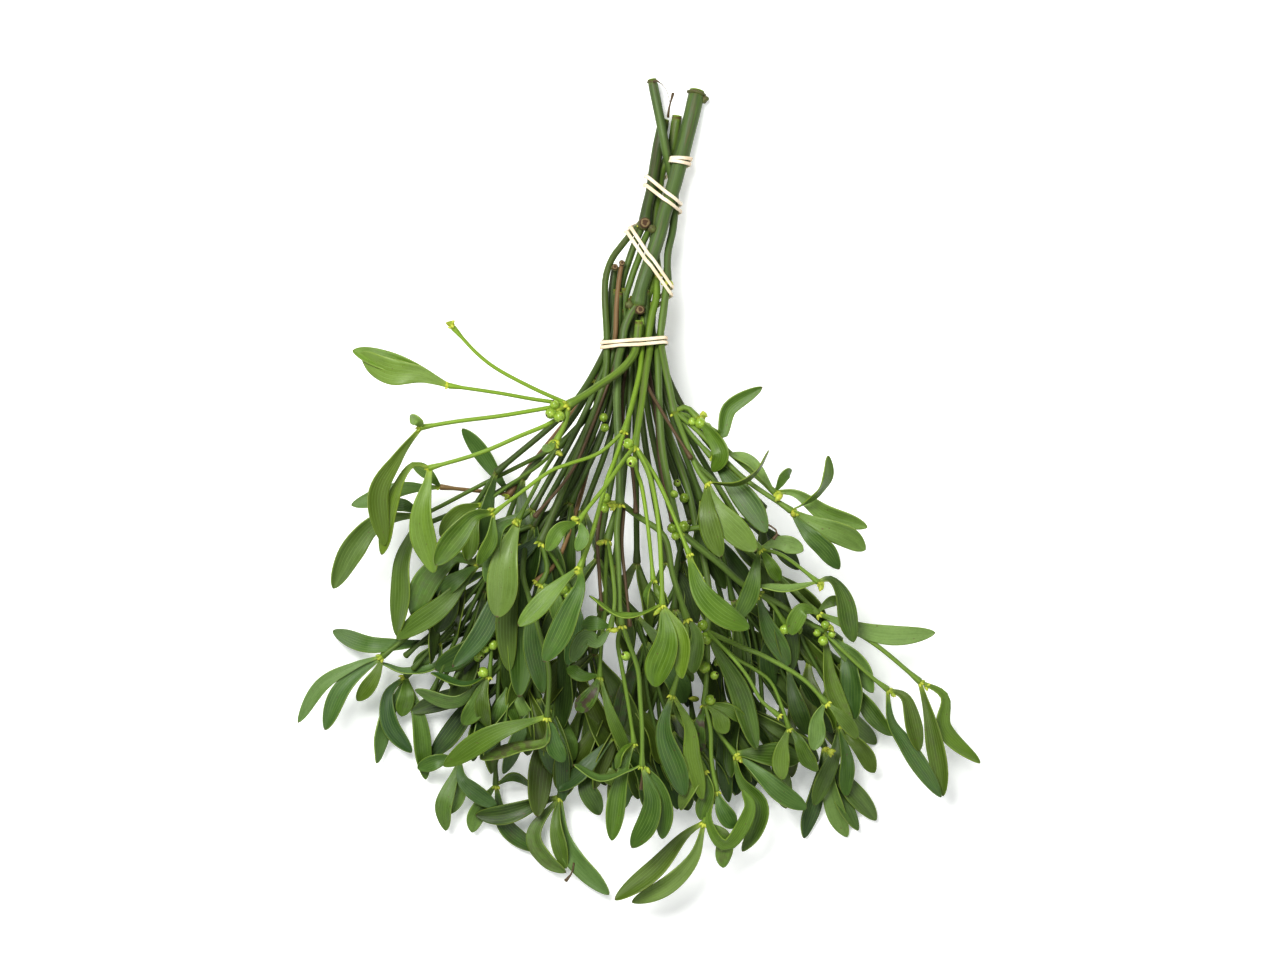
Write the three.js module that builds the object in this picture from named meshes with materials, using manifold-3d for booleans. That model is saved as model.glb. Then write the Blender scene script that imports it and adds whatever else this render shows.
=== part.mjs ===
import * as THREE from "three";
import { mergeGeometries, mergeVertices } from "three/addons/utils/BufferGeometryUtils.js";
import Module from "manifold-3d";

// A tied bunch of mistletoe, lying down. Cut sprigs are gathered at a neck by a rubber band wound
// round their stems, and fan out from there. +Y points to the cut ends, +Z is up, the table is
// z = 0, and all sizes are in millimetres.

// Driving dimensions

// Where the last turn of the band gathers the stems, and the height of the bundle there.
const NECK_X = -3;
const NECK_Y = 73;
const NECK_TOP = 38;
const NECK_UNDERSIDE = 26;

// Past the neck the foliage is a low dome. Level 0 is its underside and level 6 its top.
const LEVELS = 6;
const DOME_RISE = 60;
const DOME_REACH = 300;
const UNDERSIDE = 2.5;
const UNDERSIDE_REACH = 70;
const NEAR = 40;
const FAR = 180;

// A leaf is a thick leathery blade, widest past its middle: distance along it, part of its width.
const BLADE_OUTLINE = [[0, 0], [0.13, 0.2], [0.36, 0.72], [0.62, 1], [0.86, 0.76], [1, 0]];
const BLADE_THICKNESS = 1.4;
const BLADE_CUP = 0.16;
const BLADE_LIFT = 3.5;
const BLADE_ARCH = 3;
const BLADE_ROLL = 26;

// A shoot swells at its end, where the next shoots and leaves are jointed to it.
const THICK_STEM = 2.8;
const THIN_SHOOT = 1.55;
const SHOOT_STEP = 26;
const BUNDLE_STEP = 6.5;
const BUNDLE_END = 62;
const SHOOT_ROOT = 0.85;
const JOINT_FLARE = 0.6;
const JOINT_PAST = 0.6;
const JOINT_REACH = 2.2;
const BERRY_SEAT = 1;

// The rubber band is a flat strip, wound twice side by side.
const BAND_WIDTH = 1.9;
const BAND_THICKNESS = 1;
const BAND_GAP = 0.85;

// The band is hooked on the thick stem and wound down to the neck. It crosses over the bundle from
// its left edge to its right and back under it: y at each edge, and how far its strands lie apart.
const BAND_EDGES = [[163.6, 1.4], [163, 2.6], [153.2, 4.4], [139.8, 3.8], [128.1, 2.1], [98, 3.8],
  [71, 2.4], [73.2, 2.5], [72.4, 1.3]];
const BAND_STEP = 5;
const BAND_BEND = 36;
const BAND_TAIL = 160;
const HALF_TURN = 180;
const BUNDLE_SAMPLES = 60;

const wasm = await Module();
wasm.setup();

// One closed body from a geometry: its doubled vertices are merged and flat triangles dropped.
function solidOf(geometry) {
  geometry.deleteAttribute("normal");
  geometry.deleteAttribute("uv");
  const merged = mergeVertices(geometry, 1e-3);
  const corners = Array.from(merged.index.array);
  const kept = [];
  for (let i = 0; i < corners.length; i += 3) {
    const [a, b, c] = corners.slice(i, i + 3);
    if (a !== b && b !== c && c !== a) kept.push(a, b, c);
  }
  return new wasm.Manifold(new wasm.Mesh({
    numProp: 3,
    vertProperties: merged.attributes.position.array,
    triVerts: new Uint32Array(kept),
  }));
}

// Height of a level of the dome above the table.
function heightAt(level, x, y) {
  const distance = Math.hypot(x - NECK_X, y - NECK_Y);
  const arc = Math.sin(Math.PI * Math.min(distance / DOME_REACH, 1));
  const top = NECK_TOP + DOME_RISE * arc;
  const sink = THREE.MathUtils.smoothstep(distance, 0, UNDERSIDE_REACH);
  const underside = THREE.MathUtils.lerp(NECK_UNDERSIDE, UNDERSIDE, sink);
  return THREE.MathUtils.lerp(underside, top, level / LEVELS);
}

// A place given by x and y lies on its sprig's level, which sinks from near the neck to far from
// it. One given by x, y and z is taken as it is.
function placeOf([x, y, z], [near, far]) {
  if (z !== undefined) return new THREE.Vector3(x, y, z);
  const distance = Math.hypot(x - NECK_X, y - NECK_Y);
  const out = THREE.MathUtils.clamp((distance - NEAR) / (FAR - NEAR), 0, 1);
  const level = THREE.MathUtils.lerp(near, far, out);
  return new THREE.Vector3(x, y, heightAt(level, x, y));
}

// The axes of a section: side lies level, and normal looks up when roll is 0 degrees.
function sectionAt(curve, at, roll = 0) {
  const along = curve.getTangentAt(at);
  const side = new THREE.Vector3(-along.y, along.x, 0).normalize();
  side.applyAxisAngle(along, THREE.MathUtils.degToRad(roll));
  const normal = new THREE.Vector3().crossVectors(along, side);
  return { centre: curve.getPointAt(at), along, side, normal };
}

// A round rod through a row of sections, each with its own radius.
function rod(sections, sides) {
  const last = sections.length - 1;
  const geometry = new THREE.CylinderGeometry(1, 1, last, sides, last);
  const position = geometry.attributes.position;
  for (let i = 0; i < position.count; i += 1) {
    const section = sections[Math.round(last / 2 - position.getY(i))];
    const point = section.centre.clone();
    point.addScaledVector(section.side, section.radius * position.getX(i));
    point.addScaledVector(section.normal, section.radius * position.getZ(i));
    position.setXYZ(i, point.x, point.y, point.z);
  }
  return solidOf(geometry);
}

// Radii along a shoot: narrow at its root, even in its middle, and flared at its own joint. Steps
// are short in the bundle, where stems lie close together, and long in the foliage.
function shootRadii(curve, [startRadius, endRadius]) {
  const length = curve.getLength();
  const joint = Math.max(0.7, 1 - (JOINT_REACH * endRadius) / length);
  const stations = [[0, SHOOT_ROOT * startRadius]];
  let at = 0;
  while (at < joint) {
    const step = curve.getPointAt(at).y > BUNDLE_END ? BUNDLE_STEP : SHOOT_STEP;
    at = at + (1.6 * step) / length > joint ? joint : at + step / length;
    stations.push([at, THREE.MathUtils.lerp(startRadius, endRadius, at)]);
  }
  stations.push([1, endRadius + JOINT_FLARE]);
  return stations;
}

// A shoot from its parent's joint to its own, ending just past the joint.
function shootSolid(curve, radii) {
  const sections = shootRadii(curve, radii).map(([at, radius]) => ({ ...sectionAt(curve, at), radius }));
  const end = sections.at(-1);
  end.centre.addScaledVector(end.along, JOINT_PAST * end.radius);
  const thickest = Math.max(...radii);
  return rod(sections, thickest > THICK_STEM ? 8 : thickest > THIN_SHOOT ? 6 : 4);
}

// One face of a blade: three columns, of which the middle one stands out as the rib.
function bladeFace(sections, facing) {
  const last = sections.length - 1;
  const geometry = new THREE.PlaneGeometry(2, last, 2, last);
  const position = geometry.attributes.position;
  for (let i = 0; i < position.count; i += 1) {
    const section = sections[Math.round(last / 2 - position.getY(i))];
    const across = Math.round(position.getX(i));
    const rise = across === 0 ? facing * section.thickness : section.cup;
    const point = section.centre.clone();
    point.addScaledVector(section.side, -across * section.half);
    point.addScaledVector(section.normal, rise);
    position.setXYZ(i, point.x, point.y, point.z);
  }
  const corners = Array.from(geometry.index.array);
  geometry.setIndex(facing > 0 ? corners.reverse() : corners);
  return geometry;
}

function bladeSolid(curve, { width, roll, twist }) {
  const sections = BLADE_OUTLINE.map(([at, spread]) => ({
    ...sectionAt(curve, at, roll + twist * at),
    half: (spread * width) / 2,
    thickness: spread > 0 ? BLADE_THICKNESS / 2 : 0,
    cup: (BLADE_CUP * spread * width) / 2,
  }));
  return solidOf(mergeGeometries([bladeFace(sections, 1), bladeFace(sections, -1)]));
}

// A berry sits on the joint that bears it.
function berrySolid(joint, towards, radius) {
  const reach = radius + BERRY_SEAT;
  const centre = joint.clone().addScaledVector(towards.clone().sub(joint).normalize(), reach);
  const geometry = new THREE.SphereGeometry(radius, 6, 4);
  geometry.rotateX(Math.PI / 2);
  geometry.translate(centre.x, centre.y, centre.z);
  return solidOf(geometry);
}

function curveThrough(points) {
  return new THREE.CatmullRomCurve3(points, false, "catmullrom", 0.5);
}

// What a sprig is made of. Each piece starts at the end of the shoot that carries it, and its
// route lists the places that it passes after that.
const stem = (route, radii, carried = [], levels = null) => ({ kind: "stem", route, radii, carried, levels });
const leaf = (route, width, roll = null, twist = 0) => ({ kind: "leaf", route, width, roll, twist });
const berry = (x, y, radius) => ({ kind: "berry", place: [x, y], radius });

// Leaves differ a little in lift, arch and roll. The draws are the same on every run.
let seed = 7;
function draw(spread) {
  seed = (seed * 16807) % 2147483647;
  return spread * ((2 * seed) / 2147483647 - 1);
}

function leafCurve(start, route, levels) {
  const lift = draw(BLADE_LIFT);
  const arch = BLADE_ARCH + draw(BLADE_ARCH);
  const places = route.map((place) => placeOf(place, levels));
  if (places.length === 1) places.unshift(start.clone().lerp(places[0], 0.5));
  places.forEach((place, i) => {
    const out = (i + 1) / places.length;
    if (route.at(-1).length === 2) place.z += lift * out * out;
    place.z = Math.max(place.z + 4 * arch * out * (1 - out), out < 1 ? UNDERSIDE : 0);
  });
  return curveThrough([start, ...places]);
}

// A stem as points and radii, for the band to lie against.
function polylineOf(curve, radii) {
  const stations = shootRadii(curve, radii);
  const points = curve.getSpacedPoints(BUNDLE_SAMPLES);
  const radiusAt = (at) => {
    const next = Math.max(1, stations.findIndex(([station]) => station >= at));
    const [[fromAt, from], [toAt, to]] = [stations[next - 1], stations[next]];
    return THREE.MathUtils.mapLinear(at, fromAt, toAt, from, to);
  };
  return { points, radii: points.map((_, i) => radiusAt(i / BUNDLE_SAMPLES)) };
}

// The solids of one piece and of everything that it carries.
function grow(piece, start, levels, stems) {
  if (piece.kind === "berry") {
    const towards = new THREE.Vector3(...piece.place, start.z + piece.radius);
    return [berrySolid(start, towards, piece.radius)];
  }
  if (piece.kind === "leaf") {
    const curve = leafCurve(start, piece.route, levels);
    const roll = draw(BLADE_ROLL);
    return [bladeSolid(curve, { ...piece, roll: piece.roll ?? roll })];
  }
  const own = piece.levels ?? levels;
  const places = piece.route.map((place) => placeOf(place, own));
  if (start) places.unshift(start);
  const curve = curveThrough(places);
  stems.push(polylineOf(curve, piece.radii));
  const end = places.at(-1);
  return [shootSolid(curve, piece.radii), ...piece.carried.flatMap((next) => grow(next, end, own, stems))];
}

// The thick stem in front, and the middle of the bunch below it.
const middleSprig = stem([[28.5, 198.5, 3.45], [26, 187, 6.5], [23, 175, 9.5], [20, 162.5, 13.5],
  [16, 148, 18], [12.5, 138, 21.5], [10, 128, 25], [6.5, 117, 28], [3, 107, 31], [0.5, 99, 33],
  [-1, 92, 34.5]], [4.2, 3.4], [
  stem([[-4.5, 87, 35.8], [-7.8, 79, 36.6], [-8.6, 72, 37.2], [-11, 62], [-11.3, 40], [-10.3, 15],
    [-10, -7]], [2.3, 1.9], [
    stem([[-15.5, -7.5]], [1.2, 1.2], [
      berry(-19, -11.5, 2.5),
      berry(-18, -3, 2.5),
    ]),
    stem([[-13, -15], [-16, -25]], [1.8, 1.8], [
      stem([[-17, -45], [-17, -60], [-19, -75], [-20, -93]], [1.1, 1], [
        leaf([[-14, -112], [-5, -136]], 6),
        leaf([[-25, -103], [-31, -111]], 8),
        leaf([[-30, -92], [-36, -89]], 6),
      ], [4, 3.1]),
      stem([[-13.5, -42], [-12.5, -56], [-14.5, -68.5]], [1.1, 1], [
        leaf([[-21, -67], [-29, -68]], 7),
        leaf([[-21, -76], [-27, -74], [-34, -86]], 8),
      ], [4.6, 4.4]),
    ], [4.4, 3.6]),
    stem([[-11.5, -20], [-10.5, -40], [-10, -58], [-9, -67]], [1.6, 1.4], [
      stem([[-5, -78], [-1, -90], [0, -103], [1, -120], [1, -137]], [1.3, 1.1], [
        leaf([[5, -147], [6, -158], [-4, -178.5]], 10.5, 12),
        leaf([[9, -146], [12, -158], [11, -174]], 8.5),
        leaf([[-5, -140], [-20, -144.5], [-33, -137]], 8, 74),
      ]),
      stem([[-11, -76], [-9.5, -86], [-7, -100], [-5, -112], [-3, -126]], [1.1, 1], [
        leaf([[-7, -138], [-12, -155], [-14, -175]], 8.5),
        leaf([[-9, -131], [-12, -139]], 6, 60),
      ], [4.4, 3.3]),
    ]),
    stem([[-1, -14], [12, -24], [16, -42], [20, -55], [23, -64]], [1.6, 1.5], [
      stem([[23, -78], [19, -92], [16, -102]], [1.3, 1.1], [
        leaf([[13, -122], [22, -153]], 11),
        leaf([[25, -118], [26, -135], [31, -155]], 8),
        stem([[18, -112], [26, -124], [32, -140]], [1, 0.9], [
          leaf([[34, -150], [30, -165]], 7),
          leaf([[26, -148], [20, -160]], 7),
        ], [3, 2.5]),
      ]),
      leaf([[28, -74], [26, -92]], 8),
    ], [3.6, 3]),
  ], [4.8, 3.9]),
  stem([[-3, 86, 30], [-1.8, 80, 29], [1, 74, 28.9], [4, 66, 28.9], [9, 48], [15, 25], [21, 8],
    [25, -5], [29, -25], [33, -42], [34.5, -56], [33, -71]], [1.9, 1.6], [
    berry(32, -78, 3.3),
    berry(29.5, -65.5, 2.7),
    stem([[45, -83], [53, -93], [60, -105], [68, -112]], [1, 0.9], [], [3.6, 4.2]),
    stem([[50, -78.5], [62, -83.5], [80, -94], [92, -106]], [1.3, 1.1], [
      leaf([[99, -112], [108, -124]], 7),
      leaf([[88, -116], [86, -130]], 8),
    ], [3, 3.6]),
    stem([[47, -84], [57, -90], [66, -98], [74, -119]], [1, 0.9], [
      leaf([[80, -128], [88, -141]], 8),
      leaf([[70, -130], [71, -145]], 8),
    ], [2.2, 2.5]),
    stem([[33.5, -86], [32, -107]], [1.5, 1.3], [
      berry(37, -104, 2.7),
      leaf([[38, -112], [43, -122]], 8),
      leaf([[44, -110], [53, -116]], 6),
      leaf([[29, -118], [31, -131]], 6),
      stem([[35, -120], [35.5, -135], [38, -150]], [1.2, 1.1], [
        leaf([[34, -165], [43, -177], [54, -160], [51, -150]], 7, 35),
        leaf([[41, -160], [47, -169]], 8),
        stem([[35, -158], [32, -166]], [1.1, 1], [
          leaf([[22, -173], [8, -190], [-12.5, -205]], 9.5),
          leaf([[26, -184], [14, -198], [-4, -206.5]], 8.5),
          leaf([[41, -174], [41.5, -189]], 8),
        ]),
      ], [2.5, 2.5]),
      stem([[38, -120], [47, -132]], [1.2, 1.1], [
        leaf([[50, -146], [59, -158], [57, -171], [51, -181]], 8),
        leaf([[58, -132], [80, -135]], 11.5),
        leaf([[64, -146], [83, -160]], 9),
      ], [2, 1.8]),
    ]),
    leaf([[47, -98], [58, -130]], 10),
  ], [2.3, 2.3]),
]);

// The dark stem beside it, whose sprig lies on top of the others, at the front.
const frontSprig = stem([[18.5, 186, 3.2], [17, 175, 3.4], [15.4, 168, 3.8], [13.3, 163, 4], [10.4, 158, 5.3],
  [9, 148, 8.5], [7.5, 138, 12], [7, 128, 16], [7.5, 118, 20], [8, 108, 24]], [2.7, 2.4], [
  stem([[5.9, 101, 27], [4.2, 94.5, 28.2], [3, 89, 30.3], [1.6, 84, 32.4], [0.9, 76, 34.6], [1, 70, 36],
    [0, 58], [-3.5, 43], [-7.5, 28.5]], [1.6, 1.4], [
    stem([[-12, 15], [-16, 5], [-19, -6], [-25, -27], [-29.5, -38.5]], [1.2, 1.1], [
      leaf([[-43, -51], [-60, -68]], 9),
      leaf([[-30, -53], [-47.5, -85.5]], 11, 10),
    ]),
    stem([[-20, 17.5], [-35, 12], [-45, 8], [-60, -3], [-72, -12]], [1, 0.9], [
      leaf([[-84, -15], [-101, -38]], 11),
      leaf([[-74, -24], [-80, -38]], 7),
    ], [5.4, 4.4]),
  ]),
  stem([[8.2, 98, 28], [8, 94, 30], [6.2, 87, 33], [4.9, 80, 35.5], [4.2, 75.5, 36.5], [5, 70, 37.5],
    [3, 58], [1, 43], [-2.5, 21]], [2, 1.7], [
    berry(-8, 22.5, 2.8),
    stem([[4, 8], [7.5, -6], [9.5, -22], [10.5, -40], [11, -57]], [1.3, 1.1], [
      leaf([[12, -75], [7, -98]], 13, 8),
      leaf([[20, -74], [20.5, -94]], 8),
      leaf([[0, -62.5], [-12, -63], [-25, -53]], 8, 72),
    ]),
    stem([[8, 5], [15, -10], [24, -32]], [1.2, 1], [
      leaf([[30, -50], [40, -62], [54, -69]], 12),
      leaf([[29, -42], [34, -53]], 6, 55),
    ], [5.6, 5]),
    stem([[-2, 10], [1, 0], [4, -20], [6.5, -45]], [1.1, 0.9], [
      leaf([[3.5, -52], [4, -60]], 6, 62),
      leaf([[9, -51], [14, -57]], 5),
    ], [5.3, 4.9]),
    stem([[-10, 11], [-17, 1], [-25, -9], [-30, -16]], [1.2, 1], [
      leaf([[-39, -21], [-46, -31]], 7),
      leaf([[-28, -23], [-31, -31]], 6),
    ], [6.7, 6.3]),
  ]),
], [6, 5.2]);

// A short sprig that lies across the others to the upper left.
const upperLeftSprig = stem([[-0.5, 83, 39.3], [-1.5, 73, 40.2], [-3.2, 66, 43], [-10, 58], [-20, 51],
  [-28, 45.5], [-35, 41.5]], [2.2, 1.9], [
  stem([[-41, 38.5]], [1.3, 1.3], [
    berry(-43, 43, 2.4),
    berry(-46, 36, 2.8),
    berry(-39.5, 34, 2.9),
  ]),
  stem([[-52, 49], [-70, 58.5], [-81, 67], [-92, 79]], [1, 0.9]),
  stem([[-53, 44], [-70, 47], [-94, 50.5]], [1, 0.9], [
    leaf([[-108, 54.5], [-123, 58], [-138, 66.5]], 12, -8),
    leaf([[-109, 57], [-126, 64], [-142, 68]], 9),
  ], [6.4, 3.8]),
  stem([[-52, 38.5], [-70, 35.5], [-90, 33], [-108, 30]], [1.1, 1], [
    leaf([[-120, 15], [-130, -3], [-126, -28.5]], 9.5),
    leaf([[-110, 33], [-113.5, 35]], 5),
  ]),
  stem([[-43, 33], [-60, 25.5], [-80, 17], [-104, 10]], [1.1, 1], [
    leaf([[-113, 11], [-121, -5], [-128, -33]], 8, 40),
    leaf([[-107, -14], [-102, -42]], 12, 10),
  ], [5.8, 3]),
  stem([[-37, 32], [-41, 24]], [1.4, 1.2], [
    leaf([[-44.5, 20], [-48, 20.5]], 4),
  ]),
], [6.4, 3.4]);

// The dark stem on the left forks at the second crossing of the band and fills the left side.
const leftSprig = stem([[12, 184, 3.3], [10.3, 176, 4.3], [9, 170, 5.4], [7, 158, 10.4],
  [5.5, 148, 14], [3.5, 140, 17], [2.5, 133, 19]], [3, 2.7], [
  stem([[-4, 127, 21], [-9, 121, 23], [-14, 114, 26], [-17, 105, 29], [-17.5, 95, 32], [-17, 85, 34],
    [-16.5, 72, 35], [-18, 52], [-29, 22], [-38, 0], [-49, -26]], [1.7, 1.8], [
    stem([[-46, -40], [-49, -47]], [1.4, 1.2], [
      leaf([[-54, -75], [-48, -102]], 9),
      leaf([[-42, -54], [-40, -68]], 7),
    ]),
    stem([[-41, -38], [-35, -50]], [1.2, 1.1], [
      berry(-39.5, -50.5, 3),
      berry(-37, -55, 2.3),
      leaf([[-31, -68], [-36, -88]], 8),
    ], [3.2, 2.4]),
  ], [3.4, 3]),
  stem([[4.2, 128, 22], [1.7, 123, 24], [0, 116, 26], [-2.7, 109, 28], [-5, 102, 29.5], [-7, 95.5, 30],
    [-7.8, 88, 30.3], [-6.5, 82, 31], [-4.5, 73, 32], [-6, 58], [-20, 42], [-40, 21]], [1.7, 1.6], [
    stem([[-60, 11], [-80, 1], [-100, -9.5], [-109, -13.5]], [1.1, 1], [
      leaf([[-130, -17], [-144, -30], [-152.5, -50]], 11),
      leaf([[-117, -35], [-119, -55], [-121, -73.5]], 10.5),
      leaf([[-117, -8], [-125, -9]], 6),
    ]),
    stem([[-48, 8], [-52, 0], [-60, -15]], [1.1, 1], [
      leaf([[-66, -38], [-70.5, -64]], 14.5, 4),
      leaf([[-70, -22], [-76, -47]], 8),
    ], [4.4, 3.8]),
    stem([[-50, 11.5], [-64, 2], [-78, -8]], [0.9, 0.9], [
      leaf([[-90, -12], [-99, -24]], 8),
      leaf([[-83, -20], [-86, -36]], 8),
    ], [3, 2.6]),
  ], [2.7, 2]),
  stem([[-0.8, 126, 22], [-3.6, 119, 22.5], [-6.3, 111, 24], [-8.5, 104, 25.5], [-9.6, 97, 27],
    [-10, 85, 29], [-9.5, 73, 30.5], [-12, 55], [-20, 25], [-40, -7], [-57, -28]], [1.8, 2], [
    stem([[-62, -38], [-75, -45], [-95, -58], [-128, -83.5]], [1.4, 1.2], [
      leaf([[-142, -88], [-158, -98], [-170.5, -117]], 6.5),
      leaf([[-148, -100], [-157, -120.5]], 8.5),
      leaf([[-133, -96], [-141, -106]], 7),
    ], [2.4, 1.5]),
    stem([[-66, -36], [-80, -38]], [1.2, 1], [
      leaf([[-93, -34], [-105, -46], [-113, -64]], 12),
      leaf([[-98, -57], [-121, -75]], 10),
      leaf([[-93, -46], [-101, -53]], 8),
    ], [2.6, 2.2]),
    stem([[-66, -46], [-80, -60], [-99, -76]], [1.4, 1.2], [
      leaf([[-121, -78], [-137, -78], [-153.5, -71.5, 0]], 8),
      leaf([[-101, -88], [-117, -92], [-130, -87]], 7, 55),
      leaf([[-106, -66], [-112, -68.5]], 6),
      leaf([[-106, -84], [-113, -91]], 7),
    ], [2, 1.1]),
    stem([[-63, -50], [-72, -70], [-75, -93]], [1.1, 1], [
      berry(-79.5, -91, 2.8),
      leaf([[-91, -106], [-112, -100.5]], 7),
      leaf([[-88, -98], [-104, -92]], 6, 65),
      leaf([[-80, -104], [-88, -118]], 9),
      leaf([[-79, -108], [-75, -120]], 8),
    ], [2.4, 1.9]),
    stem([[-61, -48], [-66, -72], [-64.5, -95.5]], [1.1, 1], [
      leaf([[-69, -110], [-70, -125]], 8),
      leaf([[-64, -108], [-61, -119]], 7),
      leaf([[-57, -110], [-50, -125]], 8),
    ], [2, 1.4]),
    stem([[-58, -42], [-55, -54], [-48, -78], [-45, -92], [-46, -113]], [1.5, 1.2], [
      leaf([[-70, -121], [-97.5, -138]], 10),
      leaf([[-47, -126], [-62, -130], [-79, -134.5]], 8, 50),
      leaf([[-43, -124], [-38, -136]], 8),
    ], [4, 3.4]),
    leaf([[-66, -58], [-65, -91]], 10),
    leaf([[-75, -66], [-93, -89]], 10),
    leaf([[-60, -60], [-60, -104]], 13),
  ]),
], [2.2, 2.3]);

// A dry brown twig, with a few leaves left on it, between the sprigs of the left side.
const dryTwig = stem([[-9, 112, 29], [-10.5, 103, 31], [-11.7, 90, 33.5], [-12.2, 76, 34.3], [-14.5, 66],
  [-21, 54]], [1.2, 1.4], [
  stem([[-36, 34], [-52, 14], [-65, -3]], [1.4, 1.5], [
    leaf([[-76, 14], [-88.5, 29.5]], 8),
    stem([[-80, -1.5], [-99, 0.5]], [1, 0.9], [
      leaf([[-122, -2], [-143.5, -8.5]], 8),
      leaf([[-104, 6], [-113, 12]], 6),
    ]),
  ], [1.8, 1.8]),
  stem([[-24, 20], [-32, -12], [-41, -36], [-51, -46]], [1.3, 1.1], [], [1.3, 3.45]),
], [2.5, 2.5]);

// The thin pale stem passes under the thick one and fills the right side.
const rightSprig = stem([[6, 204, 6], [10, 184, 9.6], [11.5, 176, 10.7], [13, 168, 10.6], [14.2, 163, 9.7],
  [15.7, 156, 8.8], [17.3, 146, 11.2], [16.5, 130, 17], [14, 118, 22.3], [13.6, 109, 26.4],
  [13.5, 104, 28]], [2.6, 1.8], [
  stem([[12.9, 97, 30.5], [11.7, 89, 33], [10.6, 81, 35], [10.3, 73, 36.5], [12.5, 60], [17, 38]],
    [1.9, 1.8], [
    stem([[22, 25], [28, 10], [33, 3]], [1.5, 1.3], [
      leaf([[47, 2], [57, 8], [63.5, 18.5]], 8, 74),
      leaf([[40, -14], [57.5, -31]], 12),
      leaf([[33, -14], [40, -34]], 10),
    ], [5.4, 4.6]),
    stem([[28, 33], [45, 17], [66.5, -2]], [1.3, 1.1], [
      leaf([[78, -3], [93, -12], [112.5, -19.5]], 8),
      leaf([[56, 12], [44, 17]], 6),
      leaf([[72, 6], [75, 9]], 5),
    ], [4.6, 3.4]),
    stem([[30, 27], [50, 6], [74.5, -11]], [1.3, 1.2], [
      leaf([[84, -6], [92, 3], [93, 16]], 8, 72),
      leaf([[92, -19], [111.5, -30.5]], 10.5),
      leaf([[86, -25], [98.5, -40]], 9),
    ], [5.2, 3.8]),
    stem([[23, 40], [28, 35]], [1.4, 1.3], [
      berry(31.5, 29.5, 2.8),
      berry(24, 31, 2.2),
      leaf([[40, 26], [44, 40], [60.5, 50]], 7),
      leaf([[40, 18], [36, 8]], 8),
    ], [5.2, 4.2]),
    stem([[27, 14], [38, 2], [50, -17], [59.5, -30]], [1.3, 1.1], [
      leaf([[56, -46], [48, -66]], 8.5),
      leaf([[65, -38], [69, -46]], 6),
      leaf([[72, -27], [81, -31]], 8),
      stem([[70, -33], [80, -40], [88, -46.5]], [1, 0.9], [
        leaf([[95, -46], [102, -58], [106, -76.5]], 9),
        leaf([[73, -50], [58, -49]], 6, 45),
      ]),
    ], [4.2, 2.6]),
    stem([[25, 27], [35, 16]], [1.2, 1.1], [
      leaf([[50, -2], [62.5, -22]], 11),
    ], [4.7, 4.2]),
  ], [5, 3]),
  stem([[12.7, 97, 27.2], [12, 90, 28.3], [11, 82, 29], [9.5, 73, 29.5], [9, 62], [11, 20],
    [19, -21]], [1.9, 1.9], [
    berry(13.5, -19, 2.5),
    berry(24.5, -17, 2.8),
    berry(16, -27, 2.2),
    stem([[30, -30], [40, -38], [50, -47], [58, -52]], [1.9, 1.7], [
      leaf([[65, -71], [74, -88.5]], 9),
      stem([[65, -57], [72, -67]], [1.2, 1.1], [
        berry(77, -67.5, 2.7),
        berry(72.5, -73, 2.7),
      ]),
      stem([[70, -58], [80, -65], [91, -71]], [1.6, 1.3], [
        berry(93.5, -66, 2.4),
        leaf([[95, -95], [105.5, -119]], 8),
        leaf([[105, -84], [116, -102]], 9),
        stem([[100, -80], [114, -93], [123, -100]], [1.1, 1], [
          leaf([[125, -116], [134, -129], [150, -154]], 8),
          leaf([[133, -106], [139, -131]], 8),
        ], [4, 2]),
        stem([[94, -82], [98, -93]], [1.1, 1], [
          leaf([[104, -112], [118, -128, 0]], 8),
          leaf([[112, -108], [126, -123.5]], 8),
          leaf([[93, -108], [96, -122]], 8),
        ], [4, 1.1]),
      ]),
    ]),
    stem([[34, -20], [50, -29], [70, -45], [88, -62]], [1.4, 1.2], [
      leaf([[80, -60], [75, -73]], 8),
      stem([[106, -71], [120, -80], [139, -96]], [1.2, 1.1], [
        leaf([[147, -124], [151, -153.5]], 8.5),
        leaf([[151, -104], [151, -120], [169.5, -137]], 8),
      ]),
      leaf([[116, -73], [147, -72]], 9),
      leaf([[95.5, -56], [100, -57]], 5),
    ], [4, 1.9]),
  ], [4.3, 1.6]),
]);

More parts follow.
